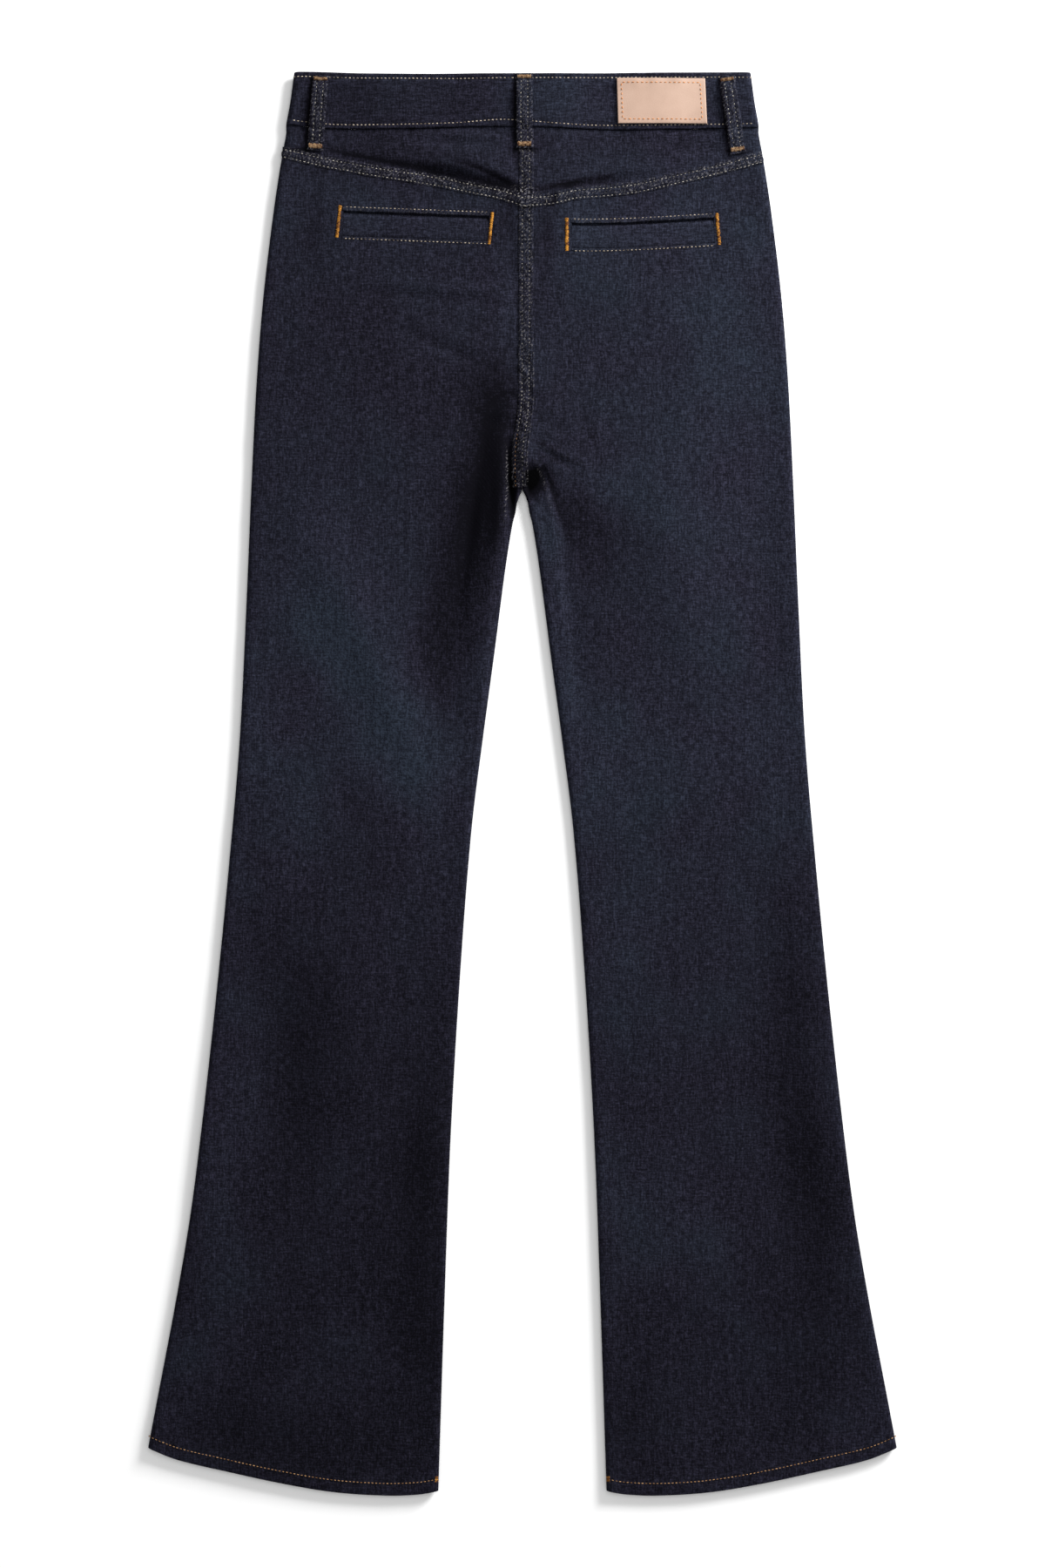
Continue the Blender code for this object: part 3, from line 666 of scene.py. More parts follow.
    def centre_share(self, x: Array, down: Array, centre: Line) -> Array:
        """How far the cloth has turned down at the middle.

        Args:
            x: Places across.
            down: Places down.
            centre: Centre seam's line.

        Returns:
            1 where it lies flat, and 0 at the seam.
        """
        dive = ease((down - CROTCH_DOWN + self.crotch_dive) / self.crotch_dive)
        away = np.where(
            down <= CROTCH_DOWN, np.abs(x - centre(down)), np.abs(x) - self.inseam_line(down))
        return 1 - dive * (1 - round_over(away, CURL_RADIUS))

    def side_share(self, x: Array, down: Array) -> Array:
        """How far the cloth has turned over at a side fold: 1 is flat, 0 is the seam."""
        return round_over(self.side_line(down) - np.abs(x), CURL_RADIUS)

    @property
    def seam_height(self) -> float:
        """Height of the seams in the folds, halfway up."""
        return (self.lay_height + self.fold_rise) / 2

    def back(self, x: Array, down: Array) -> Array:
        """Outer face of the back, with its folds curled over."""
        flat = self.side_share(x, down) * self.centre_share(x, down, self.seat_line)
        return mix(self.seam_height + SEAM_GAP / 2, self.back_level(x, down, True), flat)

    def seat_top(self, x: Array, down: Array) -> Array:
        """Height that the seat's seam keeps, as it bridges the hollows beside it."""
        return self.side_share(x, down) * self.back_level(x, down)

    def back_band(self, x: Array, down: Array) -> Array:
        """Outer face of the back waistband.

        Args:
            x: Places across.
            down: Places down.

        Returns:
            Height of the face.
        """
        rows = (bell(down - self.band_top_row(x), self.row_dent_reach)
                + bell(down - self.band_low_row(x), self.row_dent_reach))
        wave_x, wave_down = self.band_wave
        level = (self.lay_height + self.fold_height(x, down) + self.bump_rise(x, down, BACK_BUMPS)
                 + self.band_step + self.band_ripple * self.noise(x / wave_x, down / wave_down + 9)
                 + self.seam_pucker(down - self.band_line(x) + 2, x, seed=53)
                 + self.seam_pucker(down - 3, x, seed=61) - self.row_dent * rows)
        return mix(self.seam_height + SEAM_GAP / 2, level, self.side_share(x, down))

    def band_top_row(self, x: Array) -> Array:
        """Upper row of stitches on the back waistband."""
        return self.band_top(x) + self.top_row + self.row_wander * self.noise(x / 47, 4)

    def band_low_row(self, x: Array) -> Array:
        """Lower row of stitches on the back waistband."""
        lift = self.row_rise * bell(x + self.row_rise_place, self.row_rise_reach)
        return self.band_line(x) - self.low_row - lift + self.row_wander * self.noise(x / 43, 7)

    def front_level(self, x: Array, down: Array) -> Array:
        """Outer face of the front, which looks down, before it curls over.

        Args:
            x: Places across.
            down: Places down.

        Returns:
            Height of the face.
        """
        (first, last), (rise, fall) = self.front_seam, self.front_seam_ramps
        seam = np.clip((down - first) / rise, 0, 1) * np.clip((last - down) / fall, 0, 1)
        seam = self.front_seam_rise * ease(1 - np.abs(x) / self.front_seam_reach) * ease(seam)
        level = self.bump_rise(x, down, FRONT_BUMPS) + seam
        for crease in FRONT_CREASES:
            level += crease.rise(x, down)
        return level

    def front(self, x: Array, down: Array) -> Array:
        """Outer face of the front, with its folds curled over."""
        flat = self.side_share(x, down) * self.centre_share(x, down, self.front_centre)
        return mix(self.seam_height - SEAM_GAP / 2, self.front_level(x, down), flat)

    def front_band(self, x: Array, down: Array, climb: Array | float = 0) -> Array:
        """Outer face of a front band, which may climb inside the other one's end."""
        level = self.front_level(x, down) + climb
        return mix(self.seam_height - SEAM_GAP / 2, level, self.side_share(x, down))

    def underlap(self, x: Array, down: Array) -> Array:
        """Outer face of the right front band, which climbs inside the left one's end."""
        climb = ease((self.fly_overlap + 2 + self.underlap_ramp - x) / self.underlap_ramp)
        return self.front_band(x, down, climb * (BAND_WALL + self.underlap_gap))


@dataclass(frozen=True)
class Face:
    """One outer face of the cloth, known by its height over the plan."""

    height: Height
    up: bool = True
    probe: float = 0.25

    def at(self, x: Array, down: Array, lift: Array | float = 0) -> Array:
        """Points on the face or off it.

        Args:
            x: Places across.
            down: Places down.
            lift: Distance out of the face, along its normal.

        Returns:
            Points in millimetres, on the axes of the frame.
        """
        z = self.height(x, down)
        probe = self.probe
        slope_x = (self.height(x + probe, down) - self.height(x - probe, down)) / (2 * probe)
        slope_y = (self.height(x, down - probe) - self.height(x, down + probe)) / (2 * probe)
        normal = np.stack(np.broadcast_arrays(-slope_x, -slope_y, np.ones_like(z)), -1)
        normal *= (1 if self.up else -1) / np.linalg.norm(normal, axis=-1, keepdims=True)
        points = np.stack(np.broadcast_arrays(x, HALF_LENGTH - down, z), -1)
        return points + normal * np.broadcast_to(lift, z.shape)[..., None]


# Meshes

def in_scene(name: str, data: bpy.types.ID) -> Piece:
    """New object in the scene.

    Args:
        name: Name of the object.
        data: Its mesh, light or camera.

    Returns:
        The object.
    """
    created = bpy.data.objects.new(name, data)
    bpy.context.collection.objects.link(created)
    return created


def mesh_object(name: str, points: Array, faces: Array) -> Piece:
    """Smooth object from points in millimetres and faces of four corners.

    Args:
        name: Name of the piece.
        points: Points, three numbers each.
        faces: Corner numbers, four for each face.

    Returns:
        The object, linked to the scene.
    """
    corners = points[faces]
    centre = points.mean(0)
    side_a, side_b = corners[:, 2] - corners[:, 0], corners[:, 3] - corners[:, 1]
    volume = np.einsum("ij,ij->", corners.mean(1) - centre, np.cross(side_a, side_b))
    if volume < 0:
        faces = faces[:, ::-1]
    mesh = bpy.data.meshes.new(name)
    mesh.vertices.add(len(points))
    mesh.vertices.foreach_set("co", (points * MM).astype(np.float32).ravel())
    mesh.loops.add(faces.size)
    mesh.loops.foreach_set("vertex_index", faces.astype(np.int32).ravel())
    mesh.polygons.add(len(faces))
    mesh.polygons.foreach_set("loop_start", np.arange(0, faces.size, 4, dtype=np.int32))
    mesh.update(calc_edges=True)
    mesh.validate()
    mesh.shade_smooth()
    mesh.set_sharp_from_angle(angle=SHARP_ANGLE)
    return in_scene(name, mesh)


def closed_shell(name: str, first: Array, second: Array) -> Piece:
    """Closed shell between two grids of points with the same rows and columns.

    Args:
        name: Name of the piece.
        first: Points of the outer face.
        second: Points of the inner face.

    Returns:
        The shell.
    """
    rows, columns = first.shape[:2]
    index = np.arange(rows * columns).reshape(rows, columns)
    quads = np.stack([index[:-1, :-1], index[1:, :-1], index[1:, 1:], index[:-1, 1:]], -1)
    quads = quads.reshape(-1, 4)
    ring = np.concatenate([index[0, :-1], index[:-1, -1], index[-1, :0:-1], index[:0:-1, 0]])
    after = np.roll(ring, -1)
    count = rows * columns
    rim = np.stack([ring, after, after + count, ring + count], -1)
    faces = np.concatenate([quads, quads[:, ::-1] + count, rim])
    points = np.concatenate([first.reshape(-1, 3), second.reshape(-1, 3)])
    return mesh_object(name, points, faces)


def grid_normals(points: Array) -> Array:
    """Unit normals of a grid whose rows run down and whose columns run right."""
    normals = np.cross(np.gradient(points, axis=0), np.gradient(points, axis=1))
    return normals / np.maximum(np.linalg.norm(normals, axis=-1, keepdims=True), 1e-9)


def ring_quads(rings: int, sides: int) -> Array:
    """Faces between rings of points that follow each other.

    Args:
        rings: How many rings there are.
        sides: Points in each ring.

    Returns:
        Corner numbers, four for each face.
    """
    index = np.arange(rings * sides).reshape(rings, sides)
    after = np.roll(index, -1, axis=1)
    return np.stack([index[:-1], after[:-1], after[1:], index[1:]], -1).reshape(-1, 4)


def rounding(distance: Array, radius: float) -> Array:
    """How far a face draws in near a rounded edge."""
    return radius * (1 - round_over(distance, radius))


EDGE_SHARES = (0, 0.06, 0.2, 0.45, 0.75, 1.1)


def with_edges(length: float, step: float, radius: float, first: bool, last: bool) -> Array:
    """Shares along a length, closer together where an edge is rounded.

    Args:
        length: The length that is divided.
        step: Distance between places.
        radius: Radius of the rounded edges.
        first: Whether the first edge is rounded.
        last: Whether the last edge is rounded.

    Returns:
        Shares from 0 to 1.
    """
    edge = np.array(EDGE_SHARES) * radius / length
    low = edge if first else np.array([0])
    high = 1 - edge[::-1] if last else np.array([1])
    count = max(int(round((high[0] - low[-1]) * length / step)), 1)
    middle = np.linspace(low[-1], high[0], count + 1)
    return np.concatenate([low[:-1], middle, high[1:]])


def refined(places: Array, step: float, ranges: Pairs) -> Array:
    """Places with a finer step inside some ranges.

    Args:
        places: Sorted places along a length.
        step: The finer step.
        ranges: Ranges of places that are refined.

    Returns:
        Sorted places.
    """
    for first, last in ranges:
        kept = places[(places < first - 0.4 * step) | (places > last + 0.4 * step)]
        inside = np.linspace(first, last, max(int((last - first) / step), 1) + 1)
        inside = inside[(inside > places[0]) & (inside < places[-1])]
        edges = places[:1], places[-1:]
        places = np.unique(np.concatenate([*edges, kept, inside]))
    return places


@dataclass
class ClothPiece:
    """A cut piece of cloth: a shell between two edges and two lines."""

    name: str
    face: Face
    left: Line
    right: Line
    top: Line
    bottom: Line
    wall: float
    step: float
    curl_left: bool = False
    curl_right: bool = False
    round_left: bool = False
    round_right: bool = False
    round_top: bool = False
    round_bottom: bool = False
    hemmed: bool = False
    fine_step: float = 1
    fine_rows: Pairs = ()
    fine_left: float = 0
    fine_right: float = 0
    curl_steps: int = 7

    def columns(self, width: float) -> tuple[Array, Array]:
        """Offsets and shares that place each column between the two edges.

        Args:
            width: Distance between the edges.

        Returns:
            Offset and share of each column.
        """
        angles = np.linspace(0, 0.5 * math.pi, self.curl_steps)
        reach = CURL_RADIUS * (1 - np.cos(angles))
        low = reach if self.curl_left else np.array([0])
        high = 2 * CURL_RADIUS - reach[::-1] if self.curl_right else np.array([2 * CURL_RADIUS])
        start = CURL_RADIUS if self.curl_left else 0
        end = CURL_RADIUS if self.curl_right else 2 * CURL_RADIUS
        shares = with_edges(width, self.step, self.wall / 2, self.round_left, self.round_right)
        ranges = [(first / width, last / width) for first, last in
                  ((0, self.fine_left), (width - self.fine_right, width)) if last > first]
        shares = refined(shares, self.fine_step / width, ranges)
        offsets = np.concatenate([low[:-1], mix(start, end, shares), high[1:]])
        portions = np.concatenate([np.zeros(len(low) - 1), shares, np.ones(len(high) - 1)])
        return offsets, portions

    def plan(self) -> tuple[Array, Array, Array, Array]:
        """Places of the grid, and each point's distance from the top and bottom lines.

        Returns:
            Places across and down, and distances from the top and the bottom.
        """
        middle = 0.5 * (self.top(np.zeros(1)) + self.bottom(np.zeros(1)))
        width = float((self.right(middle) - self.left(middle))[0])
        offsets, portions = self.columns(width)
        centre_x = 0.5 * (self.left(middle) + self.right(middle))
        length = float((self.bottom(centre_x) - self.top(centre_x))[0])
        shares = with_edges(length, self.step, self.wall / 2, self.round_top, self.round_bottom)
        start = float(self.top(centre_x)[0])
        shares = refined(
            shares, self.fine_step / length,
            [((a - start) / length, (b - start) / length) for a, b in self.fine_rows])[:, None]
        down = np.full((len(shares), len(offsets)), float(middle[0]))
        for _ in range(6):
            left = self.left(down)
            x = left + offsets + portions * (self.right(down) - left - 2 * CURL_RADIUS)
            top, bottom = self.top(x) + SEAM_GAP / 2, self.bottom(x) - SEAM_GAP / 2
            down = mix(top, bottom, shares)
        return x, down, down - top, bottom - down

    def build(self) -> Piece:
        """Closed shell of the piece.

        Returns:
            The piece.
        """
        x, down, from_top, from_bottom = self.plan()
        height = self.face.height(x, down)
        points = np.stack([x, HALF_LENGTH - down, height], -1)
        normals = grid_normals(points) * (1 if self.face.up else -1)
        wall = np.full(x.shape, self.wall)
        if self.hemmed:
            wall = mix(HEM_WALL, self.wall, ease(from_bottom - HEM_DEPTH))
        radius = self.wall / 2
        draw = np.zeros(x.shape)
        for wanted, distance in ((self.round_top, from_top), (self.round_bottom, from_bottom),
                                 (self.round_left, x - self.left(down)),
                                 (self.round_right, self.right(down) - x)):
            if wanted:
                draw = np.maximum(draw, rounding(distance, radius))
        draw = draw * wall / self.wall
        outer = points - normals * draw[..., None]
        inner = points - normals * (wall - draw)[..., None]
        return closed_shell(self.name, outer, inner)

    def cut(self) -> tuple[float, float, float]:
        """Size of the cut that shows, with its folds laid flat.

        Returns:
            Width and length in metres, and area in square metres.
        """
        x, down, _, _ = self.plan()
        plan = np.stack([x, down], -1)
        around = np.concatenate([plan[0], plan[1:, -1], plan[-1, -2::-1], plan[-2:0:-1, 0]])
        after = np.roll(around, -1, axis=0)
        area = 0.5 * abs(float(np.sum(around[:, 0] * after[:, 1] - after[:, 0] * around[:, 1])))
        spare = (0.5 * math.pi - 1) * CURL_RADIUS * (self.curl_left + self.curl_right)
        length = float(np.ptp(down))
        width = float(np.ptp(x)) + spare
        return width * MM, length * MM, min(area + spare * length, width * length) * MM ** 2


def cut_away(piece: Piece, ring: Array) -> None:
    """Cuts a hole through a piece.

    Args:
        piece: The piece.
        ring: Outline of the hole, as places (x, down).
    """
    low, high = -20, 40
    count = len(ring)
    points = np.concatenate([
        np.stack([ring[:, 0], HALF_LENGTH - ring[:, 1], np.full(count, z)], -1)
        for z in (low, high)]) * MM
    index = list(range(count))
    faces = [index[::-1], [i + count for i in index]]
    faces += [(i, (i + 1) % count, (i + 1) % count + count, i + count) for i in index]
    mesh = bpy.data.meshes.new("cutter")
    mesh.from_pydata(points.tolist(), [], faces)
    cutter = in_scene("cutter", mesh)
    build = bmesh.new()
    build.from_mesh(mesh)
    bmesh.ops.recalc_face_normals(build, faces=build.faces)
    build.to_mesh(mesh)
    build.free()
    modifier = piece.modifiers.new("hole", "BOOLEAN")
    modifier.object, modifier.operation, modifier.solver = cutter, "DIFFERENCE", "EXACT"
    bpy.context.view_layer.update()
    result = bpy.data.meshes.new_from_object(piece.evaluated_get(bpy.context.evaluated_depsgraph_get()))
    piece.modifiers.clear()
    old, piece.data = piece.data, result
    bpy.data.meshes.remove(old)
    bpy.data.objects.remove(cutter)
    bpy.data.meshes.remove(mesh)
    result.set_sharp_from_angle(angle=SHARP_ANGLE)


@dataclass
class Seamline:
    """A line over the cloth, measured along its length."""

    face: Face
    line: Array

    def __post_init__(self) -> None:
        """Measures the line."""
        steps = np.hypot(*np.diff(self.line, axis=0).T)
        self.marks = np.concatenate([[0], np.cumsum(steps)])
        tangent = np.gradient(self.line, axis=0)
        self.tangent = tangent / np.linalg.norm(tangent, axis=1, keepdims=True)

    @property
    def length(self) -> float:
        """Length of the line over the plan."""
        return float(self.marks[-1])

    def place(self, along: Array, across: Array | float) -> tuple[Array, Array]:
        """Place on the garment.

        Args:
            along: Distance along the line.
            across: Distance to the left of it, seen in (x, down).

        Returns:
            Places across and down.
        """
        x, down, run_x, run_down = (
            np.interp(along, self.marks, values) for values in (*self.line.T, *self.tangent.T))
        return x - run_down * across, down + run_x * across

    def at(self, along: Array, across: Array | float, lift: Array | float = 0) -> Array:
        """Points along the line, moved across it and out of the cloth."""
        return self.face.at(*self.place(along, across), lift)


@dataclass
class Fell:
    """A raised seam of folded cloth that follows a line, with roping between its rows."""

    name: str
    seam: Seamline
    half_width: float = 4.7
    height: float = 0.95
    rows: tuple[float, ...] = (-3.4, 3.4)
    shift: float = 0
    dent: float = 0.5
    roping: float = 0.5
    wave: float = 5.2
    slant: float = 0.9
    row_reach: float = 0.75
    columns: int = 19
    seed: float = 0
    step: float = 1
    sink: float = 0.5
    wobble: float = 0.28
    wear: float = 0.3
    climb: float = 0
    climb_reach: float = 15
    climb_ramp: float = 4
    notch: float = NO_NOTCH
    notch_reach: float = 2
    notch_depth: float = 1
    pull: float = 0.35
    pull_pitch: float = 3.2
    noise: SoftNoise = field(default_factory=lambda: SoftNoise(37))

    def lift(self, along: Array, across: Array) -> Array:
        """Height of the seam's face above the cloth.

        Args:
            along: Distance along the seam.
            across: Distance across it.

        Returns:
            The height.
        """
        share = np.clip(np.abs(across - self.shift) / self.half_width, 0, 1)
        edge = np.sqrt(np.maximum(1 - share ** 5, 0))
        slant = (along + self.slant * across) / self.wave + self.seed
        ropes = 1 + self.roping * self.noise(slant, across / 9 + self.seed)
        dents = sum(bell(across - row, self.row_reach) for row in self.rows)
        climb = self.climb * ease((along - self.seam.length + self.climb_reach) / self.climb_ramp)
        hollow = self.notch_depth * self.notch_share(along)
        return edge * (self.height * ropes - self.dent * dents - hollow) + climb

    def notch_share(self, along: Array) -> Array:
        """Share of the notch, where the seam is pulled down near its end."""
        return bell(self.seam.length - along - self.notch, self.notch_reach)

    def build(self) -> Piece:
        """Closed strip that sits in the cloth by its sunken underside.

        Returns:
            The strip.
        """
        count = max(int(self.seam.length / self.step), 2)
        along = np.linspace(0, self.seam.length, count)[:, None]
        angles = np.linspace(-0.5 * math.pi, 0.5 * math.pi, self.columns)
        across = self.shift + self.half_width * np.sin(angles)[None, :]
        wobble = self.wobble * self.noise(along / 9 + self.seed, 3)
        along = np.broadcast_to(along, (count, across.shape[1]))
        lift = self.lift(along, across)
        top = self.seam.at(along, across + wobble, lift)
        under = self.seam.at(along, across + wobble, -self.sink)
        piece = closed_shell(self.name, top, under)
        pulled = 1 + self.pull * np.cos(2 * math.pi * along / self.pull_pitch)
        rubbed = np.clip(lift / self.height, 0, 1.3) * pulled * (1 - self.notch_share(along))
        paint(piece, self.wear * np.tile(rubbed.ravel(), 2))
        return piece


@dataclass
class Strap:
    """A belt loop: a folded strip with two rows of stitches, sewn down at both ends."""

    name: str
    seam: Seamline
    arch: Curve
    half_width: float = 6.6
    thickness: float = 1.7
    rows: tuple[float, ...] = (-2.7, 2.7)
    dent: float = 0.5
    roping: float = 0.26
    row_reach: float = 0.8
    count: int = 60
    columns: int = 25
    wear: float = 0.42
    seed: float = 0
    noise: SoftNoise = field(default_factory=lambda: SoftNoise(43))

    def lift(self, along: Array, across: Array) -> Array:
        """Height of the strap's face above the cloth.

        Args:
            along: Distance along the strap.
            across: Distance across it.

        Returns:
            The height.
        """
        share = np.clip(np.abs(across) / self.half_width, 0, 1)
        edge = 0.5 + 0.5 * np.sqrt(np.maximum(1 - share ** 6, 0))
        ropes = self.roping * self.noise(along / 4 + self.seed, across / 3)
        dents = sum(bell(across - row, self.row_reach) for row in self.rows)
        return (self.arch(along / self.seam.length) + self.thickness * edge
                + (2 * edge - 1) * (ropes - self.dent * dents))

    def build(self) -> Piece:
        """Closed strip that arches over the cloth.

        Returns:
            The strip.
        """
        angles = np.linspace(-0.5 * math.pi, 0.5 * math.pi, self.columns)
        along, across = np.broadcast_arrays(
            np.linspace(0, self.seam.length, self.count)[:, None],
            self.half_width * np.sin(angles)[None, :])
        share = np.clip(np.abs(across) / self.half_width, 0, 1)
        edge = 0.5 - 0.5 * np.sqrt(np.maximum(1 - share ** 6, 0))
        lift = self.lift(along, across)
        under = self.arch(along / self.seam.length) + self.thickness * edge
        piece = closed_shell(
            self.name, self.seam.at(along, across, lift), self.seam.at(along, across, under))
        paint(piece, np.full(len(piece.data.vertices), self.wear))
        return piece


@dataclass(frozen=True)
class Thread:
    """A sewing thread and the length of its stitches."""

    slot: str
    radius: float = 0.34
    pitch: float = 3.2
    share: float = 0.6


@dataclass
class Stitching:
    """Rows of stitches in one thread, gathered into one mesh."""

    name: str
    thread: Thread
    seed: int = 5
    sides: int = 6
    crown: float = 1
    bar_spacing: float = 0.43
    runs: list[tuple[Array, Array, Array]] = field(default_factory=list)

    def row(self, seam: Seamline, across: float, begin: float = 0, end: float | None = None,
            lift: Height | None = None) -> None:
        """Adds a row along a seam.

        Args:
            seam: Line that the row follows.
            across: Distance of the row from the line.
            begin: Where the row begins along the line.
            end: Where it ends; the line's end if not given.
            lift: Height of the cloth there above the seam's face.
        """
        end = seam.length if end is None else end
        count = max(int((end - begin) / self.thread.pitch), 1)
        pitch = (end - begin) / count
        first = begin + pitch * (np.arange(count) + 0.5 * (1 - self.thread.share))
        last = first + pitch * self.thread.share
        sideways = np.full(count, across)
        raised = [0 if lift is None else lift(places, sideways) for places in (first, last)]
        low = seam.at(first, sideways, raised[0])
        high = seam.at(last, sideways, raised[1])
        above = seam.at(first, sideways, np.asarray(raised[0]) + 1) - low
        self.runs.append((low, high, above))

    def bar(self, seam: Seamline, half_width: float,
            lift: Height | None = None) -> None:
        """Adds a bar of close stitches that lie across a line.

        Args:
            seam: Line of the bar.
            half_width: Half the length of its stitches.
            lift: Height of the cloth there above the seam's face.
        """
        count = max(int(seam.length / self.bar_spacing), 2)
        rng = np.random.default_rng(self.seed + len(self.runs))
        along = np.linspace(0, seam.length, count)
        near = -half_width * rng.uniform(0.7, 1.15, count)
        far = half_width * rng.uniform(0.7, 1.15, count)
        slant = self.bar_spacing * 0.5
        base = 0 if lift is None else lift(along, np.zeros(count))
        low = seam.at(along - slant, near, base)
        high = seam.at(along + slant, far, base)
        above = seam.at(along, np.zeros(count), np.asarray(base) + 1) - seam.at(
            along, np.zeros(count), base)
        self.runs.append((low, high, above))

    def finish(self, material: Material) -> None:
        """Builds the stitches and dresses them."""
        finish_piece(self.build(), material, self.thread.slot)

    def build(self) -> Piece:
        """One mesh of small arched lengths of thread.

        Returns:
            The mesh's object.
        """
        start, end, up = (np.concatenate(parts) for parts in zip(*self.runs))
        rng = np.random.default_rng(self.seed)
        run = end - start
        along = run / np.linalg.norm(run, axis=1, keepdims=True)
        side = np.cross(along, up)
        side /= np.linalg.norm(side, axis=1, keepdims=True)
        up = np.cross(side, along)
        skew = rng.uniform(-0.06, 0.06, (len(start), 1)) * np.linalg.norm(run, axis=1)[:, None]
        start, end = start + side * skew, end - side * skew
        shares = np.array([0, 0.1, 0.3, 0.7, 0.9, 1])
        fatness = np.array([0.3, 0.8, 1, 1, 0.8, 0.3])
        arch = np.array([-0.9, 0.1, 0.62, 0.62, 0.1, -0.9]) * self.crown
        radius = self.thread.radius * rng.uniform(0.85, 1.15, (len(start), 1, 1, 1))
        angles = np.arange(self.sides) * math.tau / self.sides
        spine = (start[:, None] + (end - start)[:, None] * shares[None, :, None])[:, :, None]
        ring = (side[:, None, None] * np.cos(angles)[None, None, :, None]
                + up[:, None, None] * np.sin(angles)[None, None, :, None])
        points = (spine + up[:, None, None] * (arch[None, :, None, None] * radius)
                  + ring * (fatness[None, :, None, None] * radius))
        rings, sides = len(shares), self.sides
        caps = np.array([[3, 2, 1, 0], [5, 4, 3, 0]])
        caps = np.concatenate([caps, (rings * sides - 1) - caps])
        one = np.concatenate([ring_quads(rings, sides), caps])
        faces = (one[None] + (np.arange(len(start)) * rings * sides)[:, None, None])
        return mesh_object(self.name, points.reshape(-1, 3), faces.reshape(-1, 4))


# Finishes

class NodePad:
    """Adds nodes to a tree and feeds their sockets."""

    def __init__(self, tree: Tree) -> None:
        """Keeps the tree."""
        self.tree = tree

    def feed(self, socket: Socket, value: object) -> None:
        """Links a socket to another, or sets its value.

        Args:
            socket: Input that is fed.
            value: Another socket, or a value.
        """
        if isinstance(value, Socket):
            self.tree.links.new(value, socket)
        else:
            socket.default_value = value

    def add(self, kind: str, inputs: dict | None = None, **settings: object) -> bpy.types.Node:
        """Adds a node.

        Args:
            kind: Node type.
            inputs: Values or links, by socket name or number.
            **settings: Properties of the node.

        Returns:
            The node.
        """
        node = self.tree.nodes.new(kind)
        for name, value in settings.items():
            setattr(node, name, value)
        for key, value in (inputs or {}).items():
            self.feed(node.inputs[key], value)
        return node

    def math(self, operation: str, a: object, b: object = 0, c: object = 0) -> Socket:
        """Result of a Math node."""
        return self.add("ShaderNodeMath", {0: a, 1: b, 2: c}, operation=operation).outputs[0]

    def noise(self, vector: object, scale: object, detail: float = 2,
              roughness: float = 0.5) -> Socket:
        """Value of a Noise texture."""
        return self.add("ShaderNodeTexNoise", {"Vector": vector, "Scale": scale, "Detail": detail,
                                               "Roughness": roughness}).outputs["Fac"]

    def stretched(self, vector: object, scale: Sequence[float]) -> Socket:
        """Vector scaled along each axis."""
        return self.add("ShaderNodeMapping", {"Vector": vector, "Scale": scale}).outputs[0]

    def blend(self, share: object, a: object, b: object) -> Socket:
        """Colour between a and b."""
        return self.add("ShaderNodeMix", {0: share, 6: a, 7: b}, data_type="RGBA").outputs[2]

    def gained(self, value: object, gain: float, base: object = 0) -> Socket:
        """Value times its gain, over a base."""
        return self.math("MULTIPLY_ADD", value, gain, base)

    def limited(self, value: object) -> Socket:
        """Value kept between 0 and 1."""
        return self.math("MAXIMUM", self.math("MINIMUM", value, 1), 0)


class Surface(NodePad):
    """A new material with its shader."""

    def __init__(self, name: str) -> None:
        """Makes the material.

        Args:
            name: Name of the material.
        """
        self.material = bpy.data.materials.new(name)
        self.material.use_nodes = True
        super().__init__(self.material.node_tree)

    def dress(self, inputs: dict[str, object]) -> Material:
        """Feeds the shader.

        Args:
            inputs: Values or links, by socket name.

        Returns:
            The material.
        """
        shader = self.tree.nodes["Principled BSDF"]
        for label, value in inputs.items():
            self.feed(shader.inputs[label], value)
        return self.material

    def dented(self, height: Socket, strength: float, distance: float) -> Socket:
        """Normal of a face that is dented by a height."""
        return self.add(
            "ShaderNodeBump", {"Height": height, "Strength": strength, "Distance": distance}).outputs[0]


def new_group(name: str, inputs: Sequence[tuple[str, float]],
              outputs: Sequence[str]) -> tuple[Tree, NodePad, object, object]:
    """Empty shader node group with number sockets.

    Args:
        name: Name of the group.
        inputs: Names and default values.
        outputs: Names.

    Returns:
        The group, a pad for its nodes, and its input and output nodes.
    """
    tree = bpy.data.node_groups.new(name, "ShaderNodeTree")
    for label, value in inputs:
        socket = tree.interface.new_socket(label, in_out="INPUT", socket_type="NodeSocketFloat")
        socket.default_value = value
    for label in outputs:
        tree.interface.new_socket(label, in_out="OUTPUT", socket_type="NodeSocketFloat")
    pad = NodePad(tree)
    return tree, pad, pad.add("NodeGroupInput"), pad.add("NodeGroupOutput")


# Waves for each metre along the three axes: warp, weft and slubs, and worn flecks
YARN_SCALES = ((760, 150, 1), (150, 760, 1), (260, 22, 1))
FLECK_SCALE = (760, 420, 1)
# Shares of warp, weft, slubs and grain in the tone
YARN_GAINS = (1.15, 1, 0.4, 1.2)


